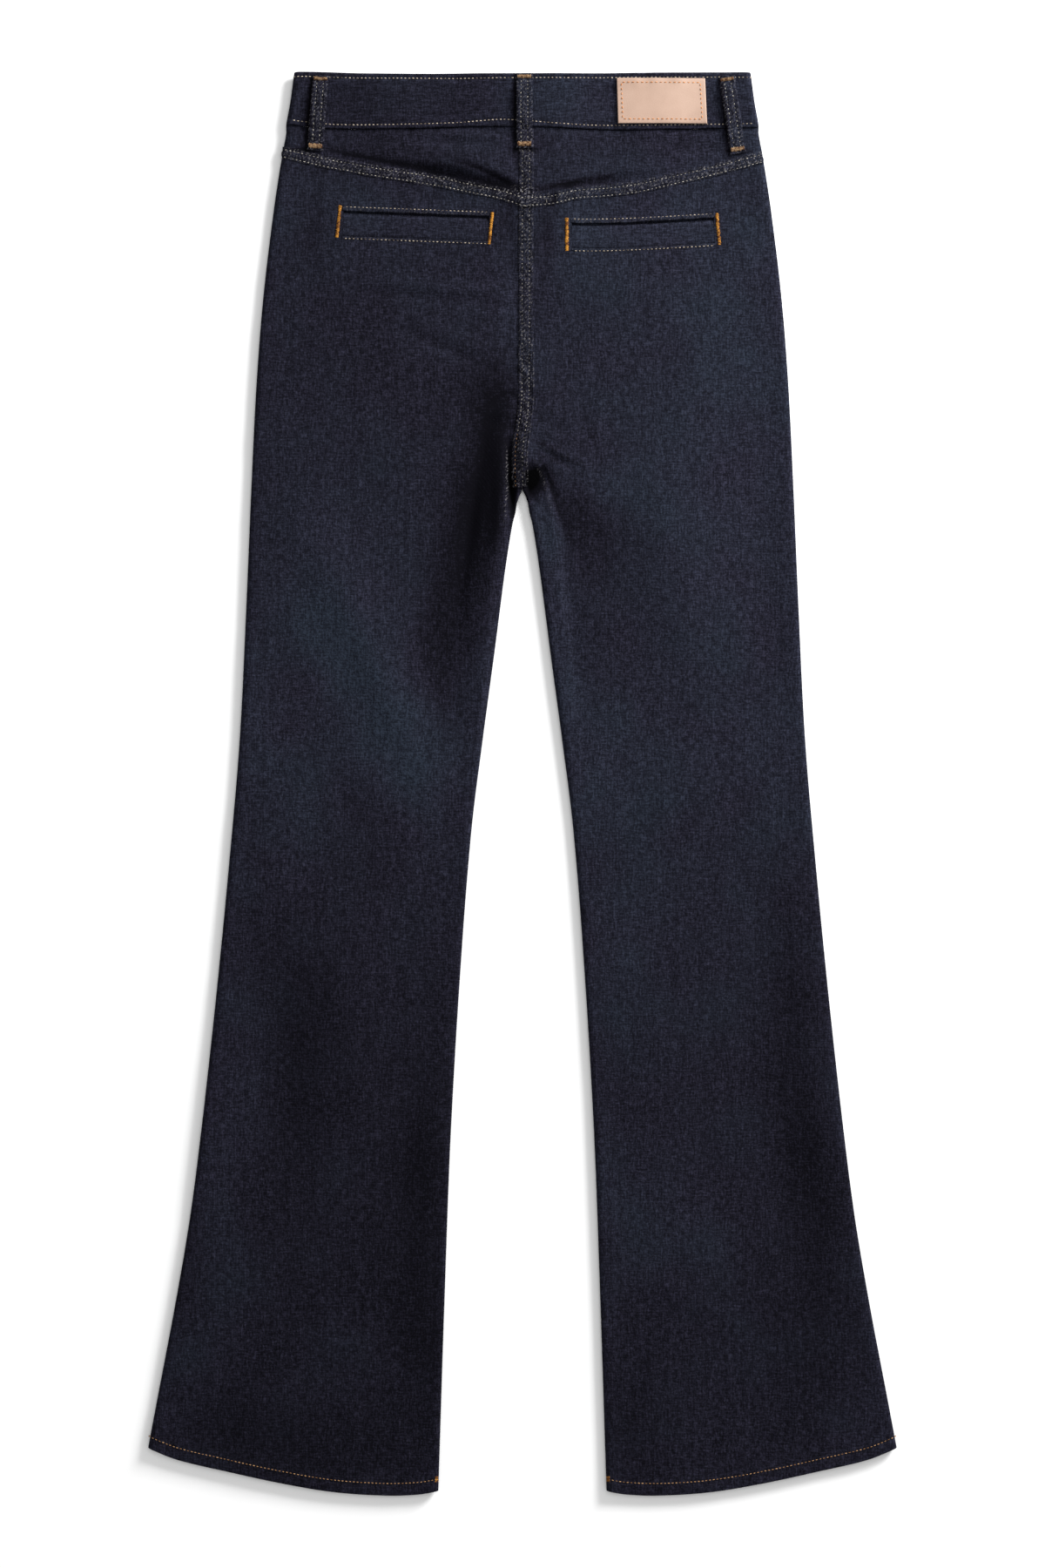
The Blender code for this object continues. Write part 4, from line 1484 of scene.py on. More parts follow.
def make_weave_group() -> Tree:
    """Twill weave: tone and height of the yarns, with slubs and streaks.

    Returns:
        The group.
    """
    tree, pad, given, result = new_group(
        "Twill weave", (("Grain Angle", 0), ("Contrast", 1)), ("Tone", "Height", "Flecks"))
    place = pad.add("ShaderNodeTexCoord").outputs["Object"]
    turned = pad.add(
        "ShaderNodeVectorRotate", {"Vector": place, "Angle": given.outputs[0]},
        rotation_type="Z_AXIS").outputs[0]
    warp, weft, slubs = (pad.noise(pad.stretched(turned, scale), 1, 2, 0.6)
                         for scale in YARN_SCALES)
    grain = pad.noise(turned, 820, 2, 0.7)
    ribs = pad.add("ShaderNodeTexWave", {
        "Vector": turned, "Scale": 160, "Distortion": 0.5, "Detail": 1},
        wave_type="BANDS", bands_direction="DIAGONAL").outputs["Fac"]
    total = 0
    for layer, gain in zip((warp, weft, slubs, grain), YARN_GAINS):
        total = pad.gained(pad.math("SUBTRACT", layer, 0.5), gain, total)
    total = pad.math("MULTIPLY", total, pad.gained(total, 1.1, 1))
    total = pad.math("SUBTRACT", total, 0.04)
    pad.feed(result.inputs["Tone"], pad.math("MULTIPLY", total, given.outputs[1]))
    slanted = pad.add(
        "ShaderNodeVectorRotate", {"Vector": place, "Angle": math.radians(40)},
        rotation_type="Z_AXIS").outputs[0]
    pad.feed(result.inputs["Flecks"], pad.noise(pad.stretched(slanted, FLECK_SCALE), 1, 2, 0.6))
    height = pad.gained(warp, 0.5, pad.math("MULTIPLY", ribs, 0.4))
    pad.feed(result.inputs["Height"], pad.gained(grain, 0.6, height))
    return tree


def make_cloud_group() -> Tree:
    """Broad uneven patches, as washing leaves in dye or handling leaves in leather.

    Returns:
        The group.
    """
    tree, pad, given, result = new_group("Broad patches", (("Scale", 10),), ("Tone",))
    place = pad.add("ShaderNodeTexCoord").outputs["Object"]
    broad = pad.noise(place, given.outputs[0], 3, 0.5)
    pad.feed(result.inputs["Tone"], pad.math("SUBTRACT", broad, 0.5))
    return tree


def make_twist_group() -> Tree:
    """Twisted plies of thread, with a little change from stitch to stitch.

    Returns:
        The group.
    """
    tree, pad, given, result = new_group("Thread twist", (("Plies", 2200),), ("Tone", "Height"))
    place = pad.add("ShaderNodeTexCoord").outputs["Object"]
    plies = pad.add("ShaderNodeTexWave", {"Vector": place, "Scale": given.outputs[0],
                                          "Distortion": 2, "Detail": 1},
                    wave_type="BANDS", bands_direction="DIAGONAL").outputs["Fac"]
    change = pad.noise(place, 420, 1, 0.5)
    pad.feed(result.inputs["Tone"], pad.math("SUBTRACT", change, 0.5))
    pad.feed(result.inputs["Height"], plies)
    return tree


@dataclass(frozen=True)
class DenimFinish:
    """Rinsed indigo twill."""

    name: str
    grain_angle: float = 0
    # Painted black shadow, for the pits where the painted shade drives the tone below zero
    shadow_black: Colour = (0.0001, 0.0001, 0.0003, 1)
    dark: Colour = (0.0027, 0.0025, 0.0042, 1)
    light: Colour = (0.0253, 0.0243, 0.0415, 1)
    teal: Colour = (0.0212, 0.0275, 0.0422, 1)
    # Colour of rubbed wear, used also for painted highlights on fold edges
    wear_and_highlight_colour: Colour = (0.095, 0.090, 0.095, 1)
    base_tone: float = 0.42
    contrast: float = 1.22
    fleck_gain: float = 8
    fleck_cut: float = 0.53

    def build(self, weave: Tree, cloud: Tree) -> Material:
        """Material of the cloth.

        Args:
            weave: Twill weave group.
            cloud: Broad patches group.

        Returns:
            The material.
        """
        pad = Surface(self.name)
        yarns = pad.add(
            "ShaderNodeGroup", {"Grain Angle": self.grain_angle, "Contrast": self.contrast},
            node_tree=weave)
        patches = pad.add("ShaderNodeGroup", {"Scale": 14}, node_tree=cloud).outputs["Tone"]
        # The fade attribute holds fades of the dye and painted shade; the wear attribute holds rubbed
        # wear and painted highlights on fold edges
        fade, wear = (pad.add("ShaderNodeAttribute", attribute_name=label).outputs["Fac"]
                      for label in ("fade", "wear"))
        # The weave's contrast follows the fade attribute, weaker where painted shade darkens the cloth
        strength = pad.math("MAXIMUM", pad.gained(fade, 0.5, 1), 0.3)
        tone = pad.gained(yarns.outputs["Tone"], strength, self.base_tone)
        tone = pad.gained(fade, 0.30, pad.gained(patches, 0.25, tone))
        # Share of painted black shadow where the tone falls below zero
        deep = pad.limited(pad.gained(tone, -1.6, -0.1))
        # The hue follows the fade attribute too, so painted shade also moves it away from teal
        cast = pad.limited(pad.gained(fade, 0.65, pad.gained(patches, 2.2, 0.42)))
        lighter = pad.blend(cast, self.light, self.teal)
        dyed = pad.blend(pad.math("MAXIMUM", tone, 0), self.dark, lighter)
        flecks = pad.math("SUBTRACT", yarns.outputs["Flecks"], self.fleck_cut)
        flecks = pad.math("MAXIMUM", pad.math("MULTIPLY", flecks, self.fleck_gain), 0)
        rubbed = pad.math("MULTIPLY", wear, pad.math("MINIMUM", flecks, 1))
        return pad.dress({
            "Base Color": pad.blend(rubbed, pad.blend(deep, dyed, self.shadow_black), self.wear_and_highlight_colour),
            "Roughness": 0.95, "Specular IOR Level": 0.03,
            "Sheen Weight": 0.005, "Sheen Roughness": 0.4,
            "Normal": pad.dented(yarns.outputs["Height"], 0.35, 0.00025)})


@dataclass(frozen=True)
class ThreadFinish:
    """Sewing thread of one colour."""

    name: str
    dark: Colour
    light: Colour

    def build(self, twist: Tree) -> Material:
        """Material of the thread, with its twist.

        Args:
            twist: Thread twist group.

        Returns:
            The material.
        """
        pad = Surface(self.name)
        plies = pad.add("ShaderNodeGroup", node_tree=twist)
        share = pad.limited(pad.gained(plies.outputs["Tone"], 3.4, 0.5))
        return pad.dress({"Base Color": pad.blend(share, self.dark, self.light),
                          "Roughness": 0.6, "Specular IOR Level": 0.15,
                          "Normal": pad.dented(plies.outputs["Height"], 0.4, 0.0001)})


@dataclass(frozen=True)
class LeatherFinish:
    """Smooth undyed leather."""

    name: str
    dark: Colour = (0.29, 0.185, 0.132, 1)
    light: Colour = (0.375, 0.253, 0.191, 1)

    def build(self, cloud: Tree) -> Material:
        """Material of the patch, with pores and an uneven tone.

        Args:
            cloud: Broad patches group.

        Returns:
            The material.
        """
        pad = Surface(self.name)
        patches = pad.add("ShaderNodeGroup", {"Scale": 45}, node_tree=cloud).outputs["Tone"]
        place = pad.add("ShaderNodeTexCoord").outputs["Object"]
        pores = pad.add("ShaderNodeTexVoronoi", {"Vector": place, "Scale": 1400}).outputs["Distance"]
        share = pad.gained(pores, 0.12, pad.gained(patches, 1.4, 0.62))
        return pad.dress({"Base Color": pad.blend(share, self.dark, self.light),
                          "Roughness": 0.55, "Normal": pad.dented(pores, 0.3, 0.0001)})


@dataclass(frozen=True)
class MetalFinish:
    """Aged metal of the button and zip."""

    name: str
    dark: Colour = (0.20, 0.12, 0.06, 1)
    light: Colour = (0.55, 0.38, 0.20, 1)

    def build(self, cloud: Tree) -> Material:
        """Material of the metal, darker in patches.

        Args:
            cloud: Broad patches group.

        Returns:
            The material.
        """
        pad = Surface(self.name)
        patches = pad.add("ShaderNodeGroup", {"Scale": 300}, node_tree=cloud).outputs["Tone"]
        share = pad.gained(patches, 2, 0.6)
        return pad.dress({"Base Color": pad.blend(share, self.dark, self.light),
                          "Metallic": 1, "Roughness": pad.gained(patches, 0.5, 0.4)})


THREAD_COLOURS = (
    ("Zip tape", (0.02, 0.02, 0.03), (0.05, 0.05, 0.07)),
    ("Russet thread", (0.36, 0.13, 0.04), (0.55, 0.24, 0.09)),
    ("Beige thread", (0.08, 0.06, 0.045), (0.46, 0.39, 0.30)),
    ("Worn beige thread", (0.045, 0.042, 0.04), (0.36, 0.335, 0.29)),
    ("Tan thread", (0.12, 0.056, 0.019), (0.39, 0.225, 0.11)),
    ("Dull gold thread", (0.05, 0.017, 0.005), (0.24, 0.15, 0.078)),
    ("Gold thread", (0.08, 0.024, 0.002), (0.39, 0.17, 0.018)),
)


class Wardrobe:
    """All finishes of the garment, built once."""

    def __init__(self) -> None:
        """Builds the shared groups and the materials."""
        weave, cloud, twist = make_weave_group(), make_cloud_group(), make_twist_group()
        self.denim = DenimFinish("Denim").build(weave, cloud)
        self.band_denim = DenimFinish("Denim across", math.radians(90)).build(weave, cloud)
        self.fell_denim = DenimFinish(
            "Denim at seams", base_tone=0.33, wear_and_highlight_colour=(0.13, 0.125, 0.135, 1),
            fleck_gain=6).build(weave, cloud)
        self.loop_denim = DenimFinish(
            "Denim of loops", base_tone=0.34, wear_and_highlight_colour=(0.11, 0.108, 0.125, 1)).build(weave, cloud)
        self.leather = LeatherFinish("Patch leather").build(cloud)
        self.metal = MetalFinish("Aged brass").build(cloud)
        self.tape, self.russet, self.beige, self.worn_beige, self.tan, self.dull_gold, self.gold = (
            ThreadFinish(name, (*dark, 1), (*light, 1)).build(twist)
            for name, dark, light in THREAD_COLOURS)


def paint(piece: Piece, wear: Array | None = None) -> None:
    """Writes a piece's fade and wear as attributes of its points: the fade holds fades of the dye and
    painted shade, and the wear holds rubbed wear and painted highlights on fold edges.

    Args:
        piece: A mesh of cloth.
        wear: Wear of each point, if it has any.
    """
    count = len(piece.data.vertices)
    points = np.zeros(count * 3, np.float32)
    piece.data.vertices.foreach_get("co", points)
    points = points.reshape(-1, 3).astype(float) / MM
    x, down = points[:, 0], HALF_LENGTH - points[:, 1]
    total = np.zeros(count)
    # Fades of the dye, and painted shade in folds and hollows
    for fade in BACK_FADES_AND_SHADE:
        turn = math.radians(fade.turn)
        off_x, off_down = x - fade.x, down - fade.down
        u = off_x * math.cos(turn) + off_down * math.sin(turn)
        v = off_down * math.cos(turn) - off_x * math.sin(turn)
        total += fade.strength * np.exp(-(u / fade.reach_x) ** 2 - (v / fade.reach_down) ** 2)
    # Painted shade in folds and hollows, and beside and below the belt loops
    for stroke in PAINTED_SHADE_STROKES:
        total += stroke.rise(x, down)
    wear = np.zeros(count) if wear is None else wear
    # Rubbed wear, and painted highlights on fold edges
    wear = wear + sum(stroke.rise(x, down) for stroke in WEAR_AND_HIGHLIGHT_STROKES)
    for label, values in (("fade", total), ("wear", wear)):
        attribute = piece.data.attributes.new(label, "FLOAT", "POINT")
        attribute.data.foreach_set("value", values.astype(np.float32))


def finish_piece(piece: Piece, material: Material, slot: str, *nodes: str) -> None:
    """Dresses a piece, rides it on the garment and hides the CAD nodes that it replaces.

    Args:
        piece: The piece.
        material: Its material.
        slot: Slot of the record that it takes its finish from; not used.
        *nodes: CAD nodes that it replaces.
    """
    piece.data.materials.clear()
    piece.data.materials.append(material)
    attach(piece, BODY)
    if nodes:
        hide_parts(*nodes)
    LOG.info("%s: %d points", piece.name, len(piece.data.vertices))


def dress_cloth(piece: Piece, cloth: ClothPiece, material: Material, node: str) -> Piece:
    """Args:
        piece: The piece.
        cloth: How it was cut.
        material: Its denim.
        node: CAD node that it replaces.

    Returns:
        The piece.
    """
    paint(piece)
    finish_piece(piece, material, "denim", node)
    width, length, area = cloth.cut()
    return piece


# Sub-assemblies

def across_line(line: Line, first: float, last: float, step: float = 1.2) -> Array:
    """Points of a line that is known by x, between two places across."""
    x = np.linspace(first, last, max(int(abs(last - first) / step), 2))
    return np.stack([x, line(x)], -1)


def straight(x0: float, down0: float, x1: float, down1: float, step: float = 1) -> Array:
    """Points of a straight line."""
    count = max(int(math.hypot(x1 - x0, down1 - down0) / step), 2)
    return np.stack([np.linspace(x0, x1, count), np.linspace(down0, down1, count)], -1)


@dataclass
class SubAssembly:
    """Pieces that are made together on the garment as it lies."""

    lie: Lie
    wardrobe: Wardrobe


@dataclass
class Backs(SubAssembly):
    """Back leg panels with their pocket windows, and yokes."""

    leg_step: float = 3
    inner_strip: float = 30
    yoke_step: float = 1.7
    window_inset: float = 0.1
    window_steps: int = 16
    mouth_overlap: float = -0.2
    fine_rows: Pairs = ((290, 372), (1118, 1134))

    def build(self, fronts: dict[Side, Piece]) -> None:
        """Builds both sides.

        Args:
            fronts: Front panels that the back lies on; not used.
        """
        lie, face = self.lie, Face(self.lie.back)
        for side in Side:
            left, right = lie.leg_edges(side, lie.seat_line)
            inner = self.inner_strip
            leg_cloth = ClothPiece(
                f"leg_back_{side.label}", face, left, right, lie.yoke_seam, lie.hem_edge, CLOTH_WALL,
                self.leg_step, True, True, round_bottom=True, hemmed=True, fine_rows=self.fine_rows,
                fine_left=inner if side is Side.RIGHT else 0,
                fine_right=inner if side is Side.LEFT else 0)
            yoke_cloth = ClothPiece(
                f"yoke_cloth_{side.label}", face, left, right, lie.band_line, lie.yoke_seam, CLOTH_WALL,
                self.yoke_step, side is Side.LEFT, side is Side.RIGHT)
            leg, yoke = leg_cloth.build(), yoke_cloth.build()
            cut_away(leg, self.window(POCKETS[side]))
            for piece, cloth, node in ((leg, leg_cloth, f"back_{side.label}"),
                                       (yoke, yoke_cloth, f"yoke_{side.label}")):
                dress_cloth(piece, cloth, self.wardrobe.denim, node)

    def window(self, pocket: Pocket) -> Array:
        """Outline of a pocket's window.

        Args:
            pocket: The pocket.

        Returns:
            Places (x, down) round the window.
        """
        steps, inset = self.window_steps, self.window_inset
        along = np.linspace(inset, pocket.length - inset, steps)
        mouth = np.stack(pocket.place(along, np.full(steps, self.mouth_overlap)), -1)
        seam = np.stack(pocket.place(along[::-1], np.full(steps, pocket.depth)), -1)
        return np.concatenate([mouth, seam])


@dataclass
class Fronts(SubAssembly):
    """Front leg panels."""

    step: float = 5

    def build(self) -> dict[Side, Piece]:
        """Builds both sides.

        Returns:
            The panels by side.
        """
        lie, face = self.lie, Face(self.lie.front, up=False)
        built = {}
        for side in Side:
            left, right = lie.leg_edges(side, lie.front_centre)
            cloth = ClothPiece(
                f"leg_front_{side.label}", face, left, right, lie.front_band_seam, lie.hem_edge,
                CLOTH_WALL, self.step, True, True, round_bottom=True, hemmed=True)
            built[side] = dress_cloth(cloth.build(), cloth, self.wardrobe.denim,
                                      f"front_{side.label}")
        return built


@dataclass
class Waistband(SubAssembly):
    """Waistband in a back half and two front halves, with its loops and patch."""

    step: float = 1.1
    front_step: float = 2.2
    underlap_end: float = -20
    buttonhole_length: float = 17
    buttonhole_width: float = 6.4
    button_down: float = 35
    loop_arch: float = 1.02
    loop_row_top: float = 5
    loop_row_foot: float = 4
    loop_bar_inset: float = 1.3
    row_reach: float = 183
    patch_thickness: float = 1.4
    patch_row_inset: float = 3.9
    patch_corners: Pairs = ((76.2, 3.5), (147.8, 3.5), (149.4, 40.9), (77.3, 40.9))

    def build(self, fronts: dict[Side, Piece]) -> None:
        """Builds the band, its loops and its patch.

        Args:
            fronts: Front panels that the band is sewn to.
        """
        lie = self.lie
        left, right = lie.side_edge(Side.LEFT), lie.side_edge(Side.RIGHT)
        back = ClothPiece(
            "band_back", Face(lie.back_band), left, right, lie.band_top, lie.band_line, BAND_WALL,
            self.step, True, True, round_top=True, round_bottom=True)
        front_left = ClothPiece(
            "band_front_left", Face(lie.front_band, up=False), left, level_line(lie.fly_overlap),
            lie.front_waist, lie.front_band_seam, BAND_WALL, self.front_step, True, False,
            round_right=True, round_top=True, round_bottom=True)
        front_right = ClothPiece(
            "band_front_right", Face(lie.underlap, up=False), level_line(self.underlap_end), right,
            lie.front_waist, lie.front_band_seam, BAND_WALL, self.front_step, False, True,
            round_left=True, round_top=True, round_bottom=True)
        built = []
        for cloth, node in ((front_left, "waistband_front_left"),
                            (front_right, "waistband_front_right"), (back, "waistband_back")):
            piece = cloth.build()
            if cloth is front_left:
                cut_away(piece, self.buttonhole(0))
            built.append(dress_cloth(piece, cloth, self.wardrobe.band_denim, node))
        self.build_rows()
        self.build_loops(built[2], fronts)
        self.build_patch()

    def buttonhole(self, spread: float) -> Array:
        """Outline of the buttonhole, moved outward.

        Args:
            spread: How far outward.

        Returns:
            Places (x, down) round it.
        """
        radius = self.buttonhole_width / 2 + spread
        centre = (self.buttonhole_length - self.buttonhole_width) / 2
        angles = np.linspace(-0.5 * math.pi, 0.5 * math.pi, 14)
        right = np.stack(
            [centre + radius * np.cos(angles), self.button_down + radius * np.sin(angles)], -1)
        left = np.stack(
            [-centre - radius * np.cos(angles), self.button_down - radius * np.sin(angles)], -1)
        return np.concatenate([right, left])

    def build_rows(self) -> None:
        """Rows of stitches along the edges of the band, and round the buttonhole."""
        lie = self.lie
        rows = Stitching("band_stitches", Thread("thread_beige", 0.35, 3.2, 0.56), 7)
        back, half = Face(lie.back_band), self.row_reach
        for line in (lie.band_top_row, lie.band_low_row):
            rows.row(Seamline(back, across_line(line, -half - 3.5, half + 3.5)), 0)
        ends = ((Face(lie.front_band, up=False), -half, lie.fly_overlap - 2),
                (Face(lie.underlap, up=False), lie.fly_overlap + 3, half))
        for face, first, last in ends:
            for line in (lambda x: lie.front_waist(x) + lie.top_row,
                         lambda x: lie.front_band_seam(x) - lie.low_row):
                rows.row(Seamline(face, across_line(line, first, last)), 0)
        rows.finish(self.wardrobe.beige)
        whip = Stitching("buttonhole_stitches", Thread("thread_gold", 0.3), 9, crown=1.2)
        ring = self.buttonhole(0.9)
        whip.bar(Seamline(Face(lie.front_band, up=False), np.concatenate([ring, ring[:1]])), 1.3)
        whip.finish(self.wardrobe.gold)

    def build_loops(self, band: Piece, fronts: dict[Side, Piece]) -> None:
        """Belt loops, each with two rows of stitches and a bar at both ends.

        Args:
            band: Back waistband; not used.
            fronts: Front panels by side; not used.
        """
        lie = self.lie
        rows = Stitching("loop_stitches", Thread("thread_beige", 0.27, 3.2, 0.42), 12)
        bars = Stitching("loop_bars", Thread("thread_gold", 0.34), 15, crown=1.5)
        kinds = (("back", BACK_LOOPS, Face(lie.back_level), Curve(BACK_LOOP_ARCH), band),
                 ("front", FRONT_LOOPS, Face(lie.front_level, up=False),
                  Curve(FRONT_LOOP_ARCH), fronts[Side.LEFT]))
        for kind, loops, face, arch, under in kinds:
            for number, loop in enumerate(loops):
                path = straight(loop.top_x, loop.top_down, loop.foot_x, loop.foot_down)
                strap = Strap(
                    f"loop_{kind}_{loop.label}", Seamline(face, path), arch, seed=7 * number)
                piece = strap.build()
                finish_piece(piece, self.wardrobe.loop_denim, "denim", f"belt_loop_{kind}_{loop.label}")
                length = strap.seam.length
                for across in strap.rows:
                    rows.row(
                        strap.seam, across, self.loop_row_top, length - self.loop_row_foot, strap.lift)
                half = strap.half_width - self.loop_bar_inset
                for along, width in ((2.5, 3), (length - 3.6, 4)):
                    x, down = strap.seam.place(np.full(2, along), np.array([-half, half]))
                    rise = float(strap.lift(np.array(along), np.array(0)))
                    bars.bar(Seamline(face, straight(x[0], down[0], x[1], down[1])), width / 2,
                             level_lift(rise))
        rows.finish(self.wardrobe.worn_beige)
        bars.finish(self.wardrobe.dull_gold)

    def build_patch(self) -> None:
        """Leather patch with a row of stitches inside its edge."""
        lie = self.lie
        rise = SEAM_GAP + self.patch_thickness + lie.row_dent * 0.5
        face = Face(lambda x, down: lie.back_band(x, down) + rise)
        (x0, top), (x1, _), (x2, low), (x3, _) = self.patch_corners
        share = lambda down: (down - top) / (low - top)
        patch = ClothPiece(
            "patch_leather", face, lambda down: mix(x0, x3, share(down)),
            lambda down: mix(x1, x2, share(down)), level_line(top), level_line(low),
            self.patch_thickness, 1.6, round_left=True, round_right=True, round_top=True,
            round_bottom=True).build()
        finish_piece(patch, self.wardrobe.leather, "patch_leather", "waist_patch")
        stitches = Stitching("patch_stitches", Thread("thread_tan", 0.36, 3.6, 0.56), 21, crown=0.6)
        inset = self.patch_row_inset
        inner = [(x0 + inset, top + inset), (x1 - inset, top + inset), (x2 - inset, low - inset),
                 (x3 + inset, low - inset)]
        for (xa, da), (xb, db) in zip(inner, inner[1:] + inner[:1]):
            stitches.row(Seamline(face, straight(xa, da, xb, db)), 0)
        stitches.finish(self.wardrobe.russet)


@dataclass
class Pockets(SubAssembly):
    """Welts in the back panels' windows, with their stitched frames."""

    mouth_gap: float = 1.5
    side_gap: float = 0.25
    step: float = 1.2
    fold_rows: tuple[float, ...] = (0, 0.1, 0.35, 0.75, 1.2, 1.8, 2.6, 3.6)
    fold_radius: float = 0.7
    fold_sink: float = 1.3
    fold_sink_reach: float = 1.9
    sink: float = 0.12
    foot_sink: float = 0.5
    foot_sink_reach: float = 0.8
    wall: float = 1.5
    upper_row: float = -3.2
    lower_row: float = 1.9

    def build(self) -> None:
        """Builds both pockets."""
        face = Face(self.lie.back)
        rows = Stitching("pocket_stitches", Thread("thread_beige", 0.34, 3.2, 0.56), 31)
        bars = Stitching("pocket_bars", Thread("thread_gold", 0.32), 33, crown=1.7)
        for side, pocket in POCKETS.items():
            finish_piece(
                self.welt(side, pocket), self.wardrobe.band_denim, "denim", f"welt_{side.label}")
            for label, below, half, height in (("lip", -1.75, 1.6, 0.5),
                                               ("edge", pocket.depth + 1.1, 1, 0.3)):
                line = self.line(pocket, below, -0.5, pocket.length + 0.5)
                fold = Fell(f"pocket_{label}_{side.label}", Seamline(face, line), half, height,
                            (), roping=0.25, wave=4, step=1, seed=side.value * 3)
                finish_piece(fold.build(), self.wardrobe.denim, "denim")
            for below in (self.upper_row, pocket.depth + self.lower_row):
                rows.row(Seamline(face, self.line(pocket, below, 1, pocket.length - 1)), 0)
        for bar in POCKET_BARS:
            bars.bar(Seamline(face, straight(*bar[:4])), bar.width / 2)
        rows.finish(self.wardrobe.beige)
        bars.finish(self.wardrobe.gold)

    def line(self, pocket: Pocket, below: float, first: float, last: float) -> Array:
        """Points of a line that keeps its distance from a pocket's mouth."""
        along = np.linspace(first, last, int((last - first) / self.step))
        return np.stack(pocket.place(along, np.full_like(along, below)), -1)

    def welt(self, side: Side, pocket: Pocket) -> Piece:
        """Welt whose folded upper edge dips into the mouth.

        Args:
            side: Side of the pocket.
            pocket: The pocket.

        Returns:
            The welt.
        """
        columns = int(pocket.length / self.step)
        along = np.linspace(self.side_gap, pocket.length - self.side_gap, columns)[None, :]
        low = pocket.depth - self.side_gap
        rest = np.linspace(5, low, 16) - self.mouth_gap
        below = (np.concatenate([self.fold_rows, rest]) + self.mouth_gap)[:, None]
        along, below = np.broadcast_arrays(along, below)
        x, down = pocket.place(along, below)
        sink = self.fold_sink * bell(below - self.mouth_gap, self.fold_sink_reach)
        sink = sink + self.sink + self.foot_sink * bell(low - below, self.foot_sink_reach)
        height = self.lie.back(x, down) - sink
        points = np.stack([x, HALF_LENGTH - down, height], -1)
        normals = grid_normals(points)
        draw = rounding(below - self.mouth_gap, self.fold_radius)[..., None]
        piece = closed_shell(
            f"welt_cloth_{side.label}", points - normals * draw, points - normals * (self.wall - draw))
        paint(piece)
        return piece


